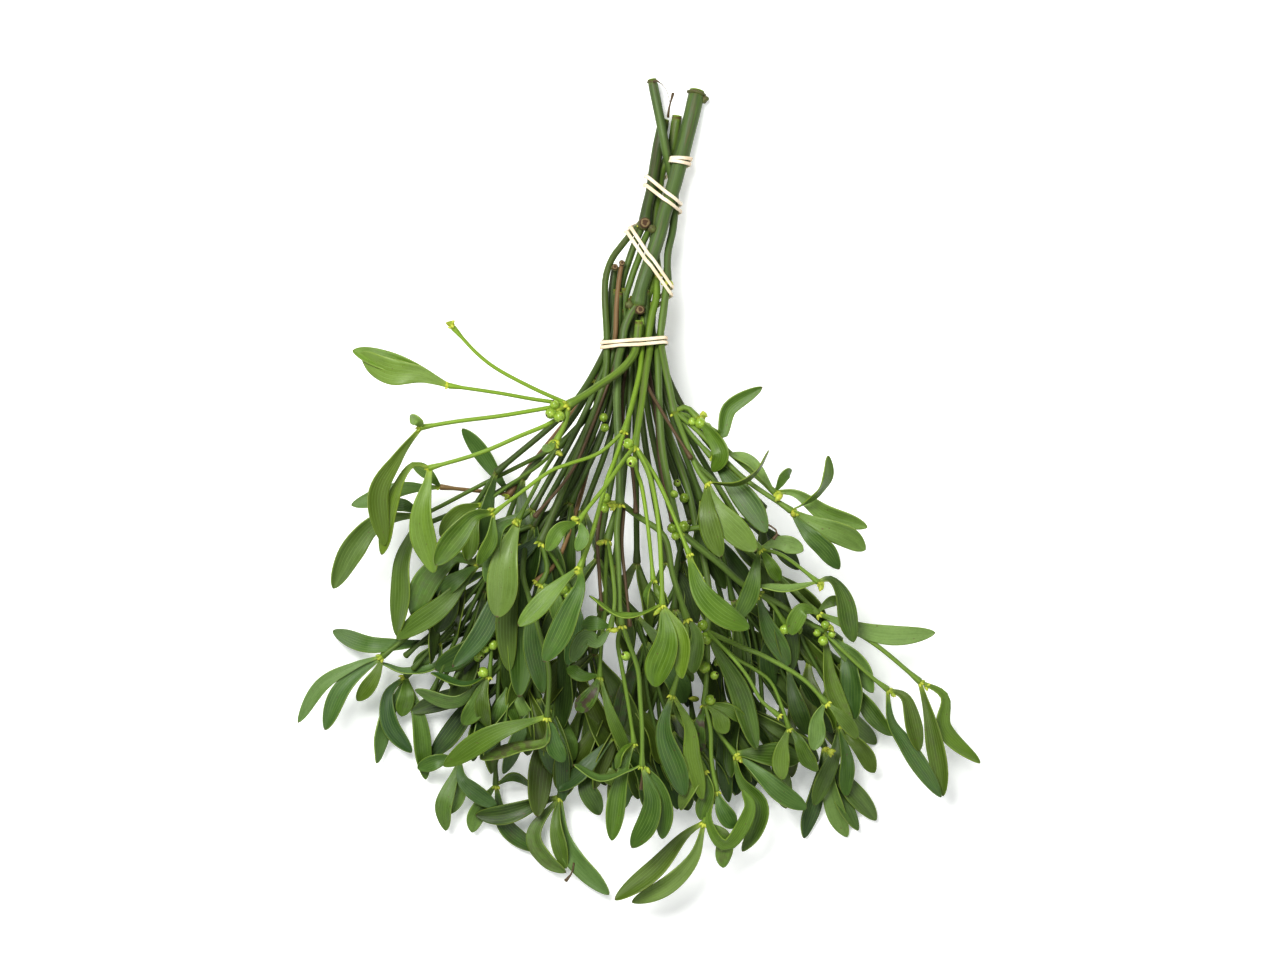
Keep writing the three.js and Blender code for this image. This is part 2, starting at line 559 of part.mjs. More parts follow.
// Two sprigs at the back of the bundle carry the foliage underneath, down to the tips.
const lowerLeftSprig = stem([[-12.4, 110, 22.8], [-14, 97, 26], [-14.5, 85, 27], [-14, 73, 27.3],
  [-18, 50], [-30, 8]], [2, 1.9], [
  stem([[-34, -35], [-28, -80], [-27, -108]], [1.7, 1.5], [
    leaf([[-25, -128], [-17, -148.5]], 9),
    stem([[-31, -122], [-35, -135], [-40, -154]], [1.4, 1.2], [
      leaf([[-38, -173], [-29, -188], [-15.5, -203]], 9.5),
      leaf([[-42, -172], [-37, -190]], 7),
      leaf([[-52, -172], [-47, -185], [-37, -192]], 8),
      leaf([[-60, -161], [-82, -163.5]], 9),
    ], [0.9, 0.6]),
    stem([[-24, -122], [-24, -134]], [1, 0.9], [
      leaf([[-26, -150], [-20, -163]], 9),
      leaf([[-18, -142], [-10, -148]], 7),
    ], [0.9, 1]),
  ]),
  stem([[-38, -40], [-38, -80], [-41, -107]], [1.6, 1.4], [
    leaf([[-50, -135], [-51, -164]], 12),
    leaf([[-36, -122], [-33, -136]], 8),
  ], [0.9, 1]),
  stem([[-44, -30], [-56, -65], [-67, -98]], [1.8, 1.6], [
    leaf([[-86, -112], [-104.5, -134.5]], 10),
    leaf([[-87, -102], [-114.5, -112]], 9),
    stem([[-72, -120], [-72, -148]], [1.2, 1.1], [
      leaf([[-68, -168], [-51, -181.5]], 8),
      leaf([[-62, -144], [-53, -149]], 7, 50),
      leaf([[-80, -158], [-84, -172]], 8),
    ]),
    stem([[-78, -118], [-90, -135]], [1.2, 1.1], [
      leaf([[-90, -150], [-96.5, -163]], 8),
      leaf([[-97, -156], [-97, -171]], 8),
      leaf([[-101, -136], [-111, -140]], 7),
      leaf([[-88, -148], [-71.5, -159]], 8),
    ], [0.9, 0.7]),
  ]),
  stem([[-52, -30], [-78, -62], [-117, -94]], [1.5, 1.2], [
    leaf([[-126, -103], [-125, -118], [-114, -132]], 8),
    leaf([[-126, -115], [-131.5, -137.5]], 8),
    leaf([[-117, -104], [-119, -114]], 8),
    leaf([[-110, -118], [-107, -145.5]], 8),
  ]),
], [0.9, 0.35]);

const lowerRightSprig = stem([[3, 111, 19], [1, 100, 22], [-1, 88, 24], [-3, 73, 25.5], [4, 50], [28, -10],
  [58, -62], [75, -97]], [2.1, 1.6], [
  stem([[82, -108], [88, -118], [92, -129]], [1.3, 1.2], [
    leaf([[89, -145], [86, -158], [82, -175]], 8.5),
    leaf([[101, -144], [118, -166]], 9),
    leaf([[97, -148], [109, -171]], 8),
    leaf([[94, -150], [103.5, -174.4]], 9),
  ]),
  stem([[86, -104], [99, -118]], [1.2, 1], [
    leaf([[95, -138], [87, -158.5]], 8),
    leaf([[108, -128], [117, -142]], 8),
    leaf([[102, -134], [103, -154]], 7),
  ], [0.9, 1]),
  stem([[70, -112], [66, -126]], [1.2, 1], [
    leaf([[70, -145], [73, -160]], 9),
    leaf([[58, -140], [54, -152]], 8),
  ]),
], [0.9, 0.3]);

// Where an upright plane cuts each stem that runs down to the neck. across is the plane's level
// normal.
function cutsBy(stems, origin, across) {
  const cuts = [];
  for (const { points, radii } of stems) {
    const offsets = points.map((point) => point.clone().sub(origin).dot(across));
    for (let i = 1; i < points.length; i += 1) {
      const cut = offsets[i - 1] < 0 !== offsets[i] < 0;
      if (!cut || points[i].y > points[i - 1].y) continue;
      const part = offsets[i - 1] / (offsets[i - 1] - offsets[i]);
      const centre = points[i - 1].clone().lerp(points[i], part);
      const radius = THREE.MathUtils.lerp(radii[i - 1], radii[i], part);
      cuts.push({ points, centre, radius, along: points[i].clone().sub(points[i - 1]).normalize() });
    }
  }
  return cuts;
}

// The place in the plane where a cut stem reaches furthest in the direction out.
function touchOf({ points, centre, radius, along }, out, across) {
  const lean = along.dot(across);
  const normal = out.clone().addScaledVector(across, -out.dot(along) / lean).normalize();
  const point = centre.clone().addScaledVector(normal, radius);
  point.addScaledVector(along, (-radius * normal.dot(across)) / lean);
  return { held: points, point, normal, reach: point.dot(out) };
}

// The taut band lies on the stem that stands out furthest.
function outermost(cuts, out, across) {
  const touches = cuts.map((cut) => touchOf(cut, out, across));
  return touches.reduce((best, touch) => (touch.reach > best.reach ? touch : best));
}

// The left or right edge of the bundle at y, where the band turns from one half of it to the other.
function edgeOf(stems, facing, y) {
  const across = new THREE.Vector3(0, 1, 0);
  const cuts = cutsBy(stems, new THREE.Vector3(0, y, 0), across);
  return outermost(cuts, new THREE.Vector3(facing, 0, 0), across).point;
}

// Half a turn from one edge of the bundle to the other, over it or under it, in one upright plane.
function halfTurn(stems, from, to, upward, sweep) {
  const ahead = to.clone().sub(from).setZ(0);
  const width = ahead.length();
  ahead.normalize();
  const across = new THREE.Vector3(-ahead.y, ahead.x, 0);
  const cuts = cutsBy(stems, from, across).filter(({ centre }) => {
    const way = centre.clone().sub(from).dot(ahead);
    return way > 0 && way < width;
  });
  const places = [];
  for (let angle = 0; angle <= sweep; angle += BAND_STEP) {
    const turn = THREE.MathUtils.degToRad(angle);
    const out = ahead.clone().multiplyScalar(-Math.cos(turn)).setZ(upward * Math.sin(turn));
    const { held, point, normal } = outermost(cuts, out, across);
    const centre = point.clone().addScaledVector(normal, BAND_GAP + BAND_THICKNESS / 2);
    places.push({ centre, normal, held });
  }
  return places;
}

// A strand is hooked on the thick stem and then wound round all of them. It keeps the places
// where it meets and leaves a stem, and bends in small steps on it.
function bandStrand(stems, hand) {
  const places = BAND_EDGES.slice(1).flatMap(([y, apart], i) => {
    const held = i === 0 ? stems.slice(0, 1) : stems;
    const [startY, startApart] = BAND_EDGES[i];
    const facing = i % 2 === 0 ? 1 : -1;
    const from = edgeOf(held, -facing, startY + (hand * startApart) / 2);
    const to = edgeOf(held, facing, y + (hand * apart) / 2);
    const sweep = i === BAND_EDGES.length - 2 ? BAND_TAIL : HALF_TURN;
    return halfTurn(held, from, to, facing, sweep).slice(i === 0 ? 0 : 1);
  });
  const kept = [places[0]];
  for (let i = 1; i < places.length - 1; i += 1) {
    const [before, place, after] = places.slice(i - 1, i + 2);
    const turned = THREE.MathUtils.radToDeg(kept.at(-1).normal.angleTo(place.normal));
    if (place.held !== before.held || place.held !== after.held || turned >= BAND_BEND) kept.push(place);
  }
  return strip([...kept, places.at(-1)]);
}

// A flat strip through a row of places, lying square to the normal at each.
function strip(places) {
  const last = places.length - 1;
  const geometry = new THREE.BoxGeometry(BAND_WIDTH, BAND_THICKNESS, last, 1, 1, last);
  const position = geometry.attributes.position;
  for (let i = 0; i < position.count; i += 1) {
    const k = Math.round(last / 2 - position.getZ(i));
    const along = places[Math.min(k + 1, last)].centre.clone().sub(places[Math.max(k - 1, 0)].centre);
    const side = new THREE.Vector3().crossVectors(places[k].normal, along).normalize();
    const point = places[k].centre.clone();
    point.addScaledVector(side, -position.getX(i));
    point.addScaledVector(places[k].normal, position.getY(i));
    position.setXYZ(i, point.x, point.y, point.z);
  }
  return solidOf(geometry);
}

// Colour of each sprig.
const sprigs = {
  sprig_middle: [middleSprig, 0x6f9440],
  sprig_front: [frontSprig, 0x7fa64c],
  sprig_upper_left: [upperLeftSprig, 0x86a552],
  sprig_left: [leftSprig, 0x63883b],
  twig_dry: [dryTwig, 0x7b6a45],
  sprig_right: [rightSprig, 0x6b9140],
  sprig_lower_left: [lowerLeftSprig, 0x4f7434],
  sprig_lower_right: [lowerRightSprig, 0x557a37],
};

function meshOf(name, manifold, color, roughness) {
  const { vertProperties, triVerts } = manifold.getMesh();
  const geometry = new THREE.BufferGeometry();
  geometry.setAttribute("position", new THREE.BufferAttribute(vertProperties, 3));
  geometry.setIndex(new THREE.BufferAttribute(triVerts, 1));
  geometry.computeVertexNormals();
  const mesh = new THREE.Mesh(geometry, new THREE.MeshStandardMaterial({ color, roughness }));
  mesh.name = name;
  return mesh;
}

const joined = (solids) => solids.reduce((whole, next) => whole.add(next));

const bunch = new THREE.Group();
const stems = [];
for (const [name, [sprig, color]] of Object.entries(sprigs)) {
  bunch.add(meshOf(name, joined(grow(sprig, null, [LEVELS / 2, LEVELS / 2], stems)), color, 0.5));
}
const strands = [bandStrand(stems, 1), bandStrand(stems, -1)];
bunch.add(meshOf("rubber_band", joined(strands), 0xf3e2cc, 0.6));

export default bunch;
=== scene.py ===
# %% [markdown]
# # A tied bunch of mistletoe
# A shop bunch is a handful of cut sprigs, gathered at a neck by one rubber band that is wound
# down their stems, and laid on a table. Every sprig forks again and again. Each fork ends in a
# pair of leathery leaves, some yellow buds and now and then a few berries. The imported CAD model
# gives the frame: the same sprigs with few faces. Each sprig is grown again here from the same
# routes, with a fine surface, and stands for its solid.

import math
import random
from bisect import bisect_right

import bmesh
import bpy
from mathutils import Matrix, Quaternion, Vector


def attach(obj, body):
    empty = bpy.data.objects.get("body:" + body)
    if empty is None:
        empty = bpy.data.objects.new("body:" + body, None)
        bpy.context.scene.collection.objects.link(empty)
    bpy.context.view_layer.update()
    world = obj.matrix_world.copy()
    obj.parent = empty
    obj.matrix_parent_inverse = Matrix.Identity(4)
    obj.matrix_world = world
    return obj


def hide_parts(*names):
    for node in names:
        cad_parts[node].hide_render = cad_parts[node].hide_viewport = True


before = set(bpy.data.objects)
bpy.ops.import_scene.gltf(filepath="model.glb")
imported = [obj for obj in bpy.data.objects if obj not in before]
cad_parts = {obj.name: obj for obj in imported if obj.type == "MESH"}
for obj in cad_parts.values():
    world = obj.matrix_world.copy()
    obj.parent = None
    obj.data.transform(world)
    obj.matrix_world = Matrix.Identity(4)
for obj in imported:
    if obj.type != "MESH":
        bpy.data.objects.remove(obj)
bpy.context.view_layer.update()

# %% [markdown]
# ## Camera, floor and light
# The bunch lies on a pale light table and is looked at from straight above. A long lens from far
# away keeps the low and the high leaves at one scale, as a copy stand does. The Standard view
# keeps the greens from going grey. A gamma under 1 and more exposure deepen the shade among the
# leaves and leave the table white, as on a catalogue page.

# %% Camera
FIELD_WIDTH = 0.639
FIELD_CENTRE = (-0.0005, 0.00425)
CAMERA_HEIGHT = 6.0
CLIP_END = 40
VIEW_GAMMA, VIEW_EXPOSURE = 0.82, 0.34

camera_data = bpy.data.cameras.new("copy_stand")
camera_data.lens = camera_data.sensor_width * CAMERA_HEIGHT / FIELD_WIDTH
camera_data.clip_end = CLIP_END
camera = bpy.data.objects.new("copy_stand", camera_data)
camera.location = (*FIELD_CENTRE, CAMERA_HEIGHT)
bpy.context.collection.objects.link(camera)
bpy.context.scene.camera = camera
view = bpy.context.scene.view_settings
view.view_transform = "Standard"
view.gamma, view.exposure = VIEW_GAMMA, VIEW_EXPOSURE
print("camera", round(camera_data.lens), "mm lens at", CAMERA_HEIGHT, "m")

# %% [markdown]
# The floor is one big disc, so that its edge never shows. A plane would do too. It glows a little,
# as a light table does, which keeps the gaps between the leaves pale. Colours are written in the
# 0 to 255 that a paint chart gives, so a helper turns them into what a shader wants.

# %% Floor
FLOOR_RADIUS = 9.0
FLOOR_SIDES = 96
TABLE_ROUGHNESS = 0.9
TABLE_GLOW = 0.24


def srgb(red, green, blue):
    """A colour given in 0 to 255, as the shader wants it."""
    def linear(value):
        value /= 255
        return value / 12.92 if value <= 0.04045 else ((value + 0.055) / 1.055) ** 2.4
    return (linear(red), linear(green), linear(blue), 1)


def object_from(name, bm):
    """A mesh object at the origin, made of a bmesh."""
    mesh = bpy.data.meshes.new(name)
    bm.to_mesh(mesh)
    bm.free()
    piece = bpy.data.objects.new(name, mesh)
    bpy.context.collection.objects.link(piece)
    return piece


table_top = bmesh.new()
bmesh.ops.create_circle(table_top, cap_ends=True, segments=FLOOR_SIDES, radius=FLOOR_RADIUS)
floor = object_from("table_top", table_top)
table_finish = bpy.data.materials.new("pale_table")
table_finish.use_nodes = True
table_shader = table_finish.node_tree.nodes["Principled BSDF"]
table_shader.inputs["Base Color"].default_value = srgb(244, 244, 242)
table_shader.inputs["Roughness"].default_value = TABLE_ROUGHNESS
table_shader.inputs["Emission Color"].default_value = srgb(250, 252, 255)
table_shader.inputs["Emission Strength"].default_value = TABLE_GLOW
floor.data.materials.append(table_finish)
print("floor", 2 * FLOOR_RADIUS, "m across")

# %% [markdown]
# Soft light comes from big lamps. A strong softbox stands at the upper left, a weak one at the
# right and another at the front, and a pale sky fills the rest. A sun lamp would be simpler, but
# it would cut hard shadows into the heap.

# %% Lights
# Each softbox: place, size and watts.
SOFTBOXES = {
    "key": ((-0.8, 1.05, 2.5), 1.5, 80),
    "fill": ((1.4, -0.3, 2.1), 1.4, 13),
    "front": ((-0.2, -1.5, 2.0), 1.2, 11),
}
for name, (place, size, power) in SOFTBOXES.items():
    softbox = bpy.data.lights.new(name, "AREA")
    softbox.shape = "DISK"
    softbox.size = size
    softbox.energy = power
    lamp = bpy.data.objects.new(name, softbox)
    lamp.location = place
    lamp.rotation_euler = (-Vector(place)).to_track_quat("-Z", "Y").to_euler()
    bpy.context.collection.objects.link(lamp)

SKY_STRENGTH = 0.14
sky = bpy.data.worlds.new("studio")
sky.use_nodes = True
sky.node_tree.nodes["Background"].inputs["Color"].default_value = srgb(246, 248, 250)
sky.node_tree.nodes["Background"].inputs["Strength"].default_value = SKY_STRENGTH
bpy.context.scene.world = sky
print(len(SOFTBOXES), "softboxes")

# %% [markdown]
# ## The heap that the sprigs lie in
# Past the neck the sprigs fan out into a low dome. A place on a sprig is given by x and y, and by
# the level of the dome that the sprig lies on: 0 is the underside and 6 the top. Near the neck a
# place can be given in full. All of this repeats what the CAD model does, in millimetres, and the
# finished mesh is scaled to metres once. The stems and leaves then lie exactly on their solids.

# %% Small sums
def lerp(start, end, share):
    return start + (end - start) * share


def clamp(value):
    return min(max(value, 0), 1)


def smooth(share):
    """Eases a share in and out, so that nothing starts or stops with a kink."""
    share = clamp(share)
    return share * share * (3 - 2 * share)


print("a quarter of the way, eased:", smooth(0.25))

# %% Places in the heap
MM = 0.001
NECK = Vector((-3, 73))
NECK_TOP, NECK_UNDERSIDE = 38, 26
LEVELS = 6
DOME_RISE, DOME_REACH = 60, 300
UNDERSIDE, UNDERSIDE_REACH = 2.5, 70
NEAR, FAR = 40, 180


def height_at(level, x, y):
    """Height of a level of the dome above the table."""
    distance = (Vector((x, y)) - NECK).length
    top = NECK_TOP + DOME_RISE * math.sin(math.pi * min(distance / DOME_REACH, 1))
    underside = lerp(NECK_UNDERSIDE, UNDERSIDE, smooth(distance / UNDERSIDE_REACH))
    return lerp(underside, top, level / LEVELS)


def place_of(place, levels):
    """A place of a sprig as a point: its level changes from near the neck to far from it."""
    if len(place) == 3:
        return Vector(place)
    distance = (Vector(place) - NECK).length
    level = lerp(*levels, clamp((distance - NEAR) / (FAR - NEAR)))
    return Vector((*place, height_at(level, *place)))


print("top of the dome", round(height_at(LEVELS, 0, -77)), "mm")

# %% [markdown]
# ## Smooth routes
# Every stem, leaf and strand follows a smooth curve through a few places. Blender's own curve
# objects could do this, but a leaf needs the frame of the curve at each of its rows. So a small
# class gives the place and the heading at any share of the length. It measures the curve once, in
# short steps, so that equal shares are equal lengths.

# %% Routes
SAMPLES = 200
NUDGE = 1e-4


class Route:
    """A smooth curve through places, measured along its length."""

    def __init__(self, places):
        first, last = 2 * places[0] - places[1], 2 * places[-1] - places[-2]
        self.knots = [first, *places, last]
        steps = [self.step(i / SAMPLES) for i in range(SAMPLES + 1)]
        self.lengths = [0]
        for before, after in zip(steps, steps[1:]):
            self.lengths.append(self.lengths[-1] + (after - before).length)
        self.length = self.lengths[-1]

    def step(self, t):
        """The place on the curve at t, which runs from 0 to 1 by knots and not by length."""
        spans = len(self.knots) - 3
        i = min(int(t * spans), spans - 1)
        w = t * spans - i
        before, start, end, after = self.knots[i:i + 4]
        leave, arrive = (end - before) / 2, (after - start) / 2
        cubic = 2 * (start - end) + leave + arrive
        square = 3 * (end - start) - 2 * leave - arrive
        return ((cubic * w + square) * w + leave) * w + start

    def t_at(self, share):
        """The t at a share of the length."""
        reach = share * self.length
        i = min(bisect_right(self.lengths, reach), SAMPLES) - 1
        return (i + (reach - self.lengths[i]) / (self.lengths[i + 1] - self.lengths[i])) / SAMPLES

    def place(self, share):
        return self.step(self.t_at(share))

    def heading(self, share):
        t = self.t_at(share)
        return (self.step(min(t + NUDGE, 1)) - self.step(max(t - NUDGE, 0))).normalized()


print("a straight route of 30 mm:", Route([Vector((0, 0, 0)), Vector((0, 30, 0))]).length)

# %% [markdown]
# A leaf or a rod is built on sections across its route. Each section has a side that lies level,
# and a roll turns it about the route. The vertices are told here what the materials will ask of
# them. They could be painted with vertex colours, but named vectors keep exact numbers.

# %% Sections across a route
def section(route, share, roll=0):
    """The axes of a section: side lies level, and normal looks up when roll is 0 degrees."""
    along = route.heading(share)
    side = Vector((-along.y, along.x, 0)).normalized()
    side.rotate(Quaternion(along, math.radians(roll)))
    return route.place(share), along, side, along.cross(side)


def new_mesh():
    """An empty mesh whose vertices say where they lie on their part (skin) and how it looks."""
    bm = bmesh.new()
    bm.verts.layers.float_vector.new("skin")
    bm.verts.layers.float_vector.new("looks")
    return bm


def layers_of(bm):
    return bm.verts.layers.float_vector["skin"], bm.verts.layers.float_vector["looks"]


def join_mesh(bm, part):
    """Moves the faces of a part into a mesh, through a mesh that is thrown away."""
    passing = bpy.data.meshes.new("passing")
    part.to_mesh(passing)
    part.free()
    bm.from_mesh(passing)
    bpy.data.meshes.remove(passing)


print("each vertex carries its skin and its looks")

# %% [markdown]
# ## A leaf
# A mistletoe leaf is a thick, leathery strap, widest past its middle, with a blunt tip and a few
# lengthwise veins. It could be a flat card with a picture on it, but it is seen from all sides,
# and its cupped, waved form gives the bunch its look. So each one is a grid, bent over its own
# route, and the whole sprig's leaves get their thickness from one Solidify. Each vertex keeps how
# far across and along the leaf it lies, which the material reads to draw the veins and the rim.

# %% Leaf outline
LEAF_BREADTH = 1.1
WIDEST = 0.64
BASE_SPREAD, TIP_SPREAD = 0.2, 0.03
BASE_BLUNT, TIP_BLUNT = 0.9, 0.62


def spread_at(share):
    """Half the width of a leaf, as a part of its widest."""
    if share < WIDEST:
        return lerp(BASE_SPREAD, 1, smooth(share / WIDEST) ** BASE_BLUNT)
    return max((1 - ((share - WIDEST) / (1 - WIDEST)) ** 2) ** TIP_BLUNT, TIP_SPREAD)


print("a leaf is widest at", WIDEST, "of its length")

# %% [markdown]
# No two leaves are the same. Each draws how deep its cup is, how its edges wave, and how far it
# sways and twists. The draws are seeded by where its tip lies, so they are the same on every run.

# %% Leaf surface
LEAF_COLUMNS, LEAF_ROWS = 12, 26
ROW_BIAS = 1.35
LEAF_CUP, CUP_DEPTHS, CUP_POWER = 0.16, (0.2, 2.3), 1.6
LEAF_WAVE, WAVE_COUNTS, WAVE_SIZES = 0.06, (1.2, 2.6), (0.4, 1.4)
LEAF_SWAY, SWAY_BENDS = 0.11, 4.4
LEAF_TWIST, TWIST_SPREAD, TWIST_FROM = 38, 0.7, 0.35
VEINS, VEIN_DEPTH = 3, 0.1
PHASES, SEEDS = (0, 6), (0, 100)
TABLE_CLEAR = 0.4


def add_leaf(bm, route, width, roll, twist, look):
    """A grid that is bent over a route, from the joint to the tip."""
    skin, looks = layers_of(bm)
    whims = random.Random(f"leaf {route.knots[-2]}")
    seed = whims.uniform(*SEEDS)
    waves, phase = whims.uniform(*WAVE_COUNTS), whims.uniform(*PHASES)
    sway_phase = whims.uniform(*PHASES)
    size = whims.uniform(*WAVE_SIZES)
    cup = LEAF_CUP * whims.uniform(*CUP_DEPTHS)
    turn = clamp(abs(whims.gauss(0, TWIST_SPREAD))) * LEAF_TWIST * whims.choice((-1, 1))
    made = bmesh.ops.create_grid(bm, x_segments=LEAF_COLUMNS, y_segments=LEAF_ROWS, size=1)
    rows = {}
    for vert in made["verts"]:
        across = vert.co.x
        share = 1 - (1 - (vert.co.y + 1) / 2) ** ROW_BIAS
        row = round(share, 5)
        if row not in rows:
            rolled = roll + twist * share + turn * (share - TWIST_FROM)
            half = spread_at(share) * LEAF_BREADTH * width / 2
            rows[row] = (*section(route, share, rolled), half)
        centre, _, side, normal, half = rows[row]
        edge = abs(across)
        middle = math.sin(math.pi * share)
        wave = math.sin(2 * math.pi * waves * share + phase + across) * edge * edge * middle
        sway = math.sin(SWAY_BENDS * share + sway_phase) * middle * LEAF_SWAY * width * size
        vein = math.cos(math.pi * VEINS * across) ** 2 * (1 - edge)
        rise = cup * half * edge ** CUP_POWER + wave * LEAF_WAVE * width * size - vein * VEIN_DEPTH
        vert.co = centre - side * (across * half + sway) + normal * rise
        vert.co.z = max(vert.co.z, TABLE_CLEAR)
        vert[skin] = (across, share, seed)
        vert[looks] = look


print("leaf grid", LEAF_COLUMNS, "by", LEAF_ROWS)

# %% [markdown]
# ## A shoot
# A shoot is a smooth round rod. It has a faint ring where it starts, and it widens evenly into the
# joint at its end, where two leaves and the next shoots sit. A bevelled curve object would give
# one radius profile at best. A cylinder that is cut into rings by an edge subdivision can be bent
# over the route and swollen ring by ring, and closed by a round end.

# %% Shoot profile
SHOOT_STEP, FEWEST_STEPS = 3.2, 5
SHOOT_ROOT, ROOT_REACH = 0.88, 5
RING_AT, RING_WIDTH, RING_SWELL = 1.8, 0.9, 0.1
JOINT_FLARE, JOINT_REACH = 0.62, 8
END_RINGS, END_PAST, END_TURN = 3, 0.6, 82


def shoot_radius(distance, length, radii):
    radius = lerp(*radii, distance / length)
    radius *= lerp(SHOOT_ROOT, 1, smooth(distance / ROOT_REACH))
    radius *= 1 + RING_SWELL * math.exp(-(((distance - RING_AT) / RING_WIDTH) ** 2))
    reach = min(JOINT_REACH, length / 2)
    return radius + JOINT_FLARE * smooth(1 - (length - distance) / reach) ** 1.5


def shoot_profile(route, radii):
    """(share, radius, past the end) of each ring, with the round end as the last few."""
    steps = max(FEWEST_STEPS, round(route.length / SHOOT_STEP))
    profile = [(i / steps, shoot_radius(i / steps * route.length, route.length, radii), 0)
               for i in range(steps + 1)]
    end_radius = profile[-1][1]
    for i in range(1, END_RINGS + 1):
        turn = i / END_RINGS * math.radians(END_TURN)
        profile.append((1, end_radius * math.cos(turn), END_PAST * end_radius * math.sin(turn)))
    return profile


print("rings every", SHOOT_STEP, "mm")

# %% [markdown]
# Stems, twigs and the band are all rods. The operators make and cut the cylinder, and a loop moves
# each of its vertices to the ring that it belongs to.

# %% Rods
# The third number of a rod's skin is its distance from the root, in spans of so many millimetres.
SKIN_SPAN = 10


def rod_rings(route, profile):
    """Centre, side, normal, radius and distance of each ring of a rod."""
    rings = []
    for share, radius, past in profile:
        centre, along, side, normal = section(route, share)
        rings.append((centre + along * past, side, normal, radius, share * route.length + past))
    return rings


def add_rod(bm, rings, sides, shades, squash=1):
    """A closed rod through rings, with a shade for each, squashed along the normal if flat."""
    rod = new_mesh()
    skin, looks = layers_of(rod)
    bmesh.ops.create_cone(rod, cap_ends=True, segments=sides, radius1=1, radius2=1, depth=1)
    uprights = [edge for edge in rod.edges if abs(edge.verts[0].co.z - edge.verts[1].co.z) > 0.5]
    bmesh.ops.subdivide_edges(rod, edges=uprights, cuts=len(rings) - 2)
    for vert in rod.verts:
        ring = round((vert.co.z + 0.5) * (len(rings) - 1))
        centre, side, normal, radius, distance = rings[ring]
        turn = vert.co.to_2d().normalized()
        vert[skin] = (turn.x, turn.y, distance / SKIN_SPAN)
        vert[looks] = shades[ring]
        vert.co = centre - side * turn.x * radius + normal * turn.y * radius * squash
    # The rings mirror the cylinder, so its faces are turned to look outwards again.
    bmesh.ops.reverse_faces(rod, faces=rod.faces)
    join_mesh(bm, rod)


print("a rod is a cylinder cut into rings")

# %% [markdown]
# The thick stems are rounder than the thin shoots, so they get more sides. How old a shoot looks
# goes by its thickness, and the yellow of a joint spreads a few millimetres along it.

# %% Shoots
# Sides of the rod of a shoot that is thicker than this.
SIDES = {2.6: 14, 1.4: 10, 0: 8}
YOUNG, AGE_SPAN = 1.0, 1.6
# How far the yellow of a joint reaches back along its shoot and out into the next, in
# millimetres, and how strong it is there.
JOINT_TINT, ROOT_TINT, ROOT_SHARE = 7, 3, 0.5


def add_shoot(bm, route, radii, whim):
    thickest = max(radii)
    age = clamp((thickest - YOUNG) / AGE_SPAN)
    sides = next(count for least, count in SIDES.items() if thickest > least)

    def look(share):
        at_joint = smooth(1 - (1 - share) * route.length / JOINT_TINT)
        at_root = smooth(1 - share * route.length / ROOT_TINT)
        return (age, whim, clamp(at_joint + ROOT_SHARE * at_root))

    rings = rod_rings(route, shoot_profile(route, radii))
    shades = [look(ring / (len(rings) - 1)) for ring in range(len(rings))]
    add_rod(bm, rings, sides, shades)


print("a shoot has", min(SIDES.values()), "to", max(SIDES.values()), "sides")

# %% [markdown]
# ## Berries and buds
# The berries are still green: small glossy balls on the joints, each with a dark dot where the
# flower was. The buds are small yellow knobs in the forks. A ball and a pinched ball are enough
# for them at this size, if their material knows which way their tip points. So each vertex keeps
# its place on a unit ball whose z runs to the tip.

# %% Balls
BALL_SEGMENTS = 16


def add_ball(bm, centre, tip, radius, stretch, look, pinch=0, segments=BALL_SEGMENTS):
    """A ball with its z turned to the tip, longer by stretch and pinched towards its tip."""
    ball = new_mesh()
    skin, looks = layers_of(ball)
    bmesh.ops.create_uvsphere(ball, u_segments=segments, v_segments=segments * 2 // 3, radius=1)
    turn = tip.to_track_quat("Z", "Y")
    for vert in ball.verts:
        vert[skin] = vert.co.copy()
        vert[looks] = look
        round_here = 1 - pinch * smooth(vert.co.z)
        shaped = Vector((vert.co.x * round_here, vert.co.y * round_here, vert.co.z * stretch))
        vert.co = centre + turn @ (shaped * radius)
    join_mesh(bm, ball)


print("a ball has", BALL_SEGMENTS, "segments")

# %% [markdown]
# A bud is a pinched ball. A joint bears three, fanned out in its fork, with the largest in the
# middle. Each draws its own size and lean, so that no two joints look stamped.

# %% Buds
BUD_LENGTH, BUD_WIDTH = 2.1, 1.15
BUD_SPREAD = (0.85, 1.15)
BUD_PINCH, BUD_SEGMENTS = 0.55, 10
MIDDLE_BUD, OUTER_BUD = 1.15, 0.9
# How far a bud in a fork stands ahead, aside and up, in radii of the joint.
BUD_AHEAD, BUD_ASIDE, BUD_UP = 0.9, 0.75, (0.1, 0.6)
BUD_LEAN, BUD_RISE = 0.9, (0.2, 0.9)


def add_bud(bm, centre, tip, size=1.0):
    whims = random.Random(f"bud {centre}")
    width = BUD_WIDTH * size * whims.uniform(*BUD_SPREAD)
    stretch = BUD_LENGTH / BUD_WIDTH * whims.uniform(*BUD_SPREAD)
    look = (whims.random(), 0, 0)
    add_ball(bm, centre, tip, width, stretch, look, BUD_PINCH, BUD_SEGMENTS)


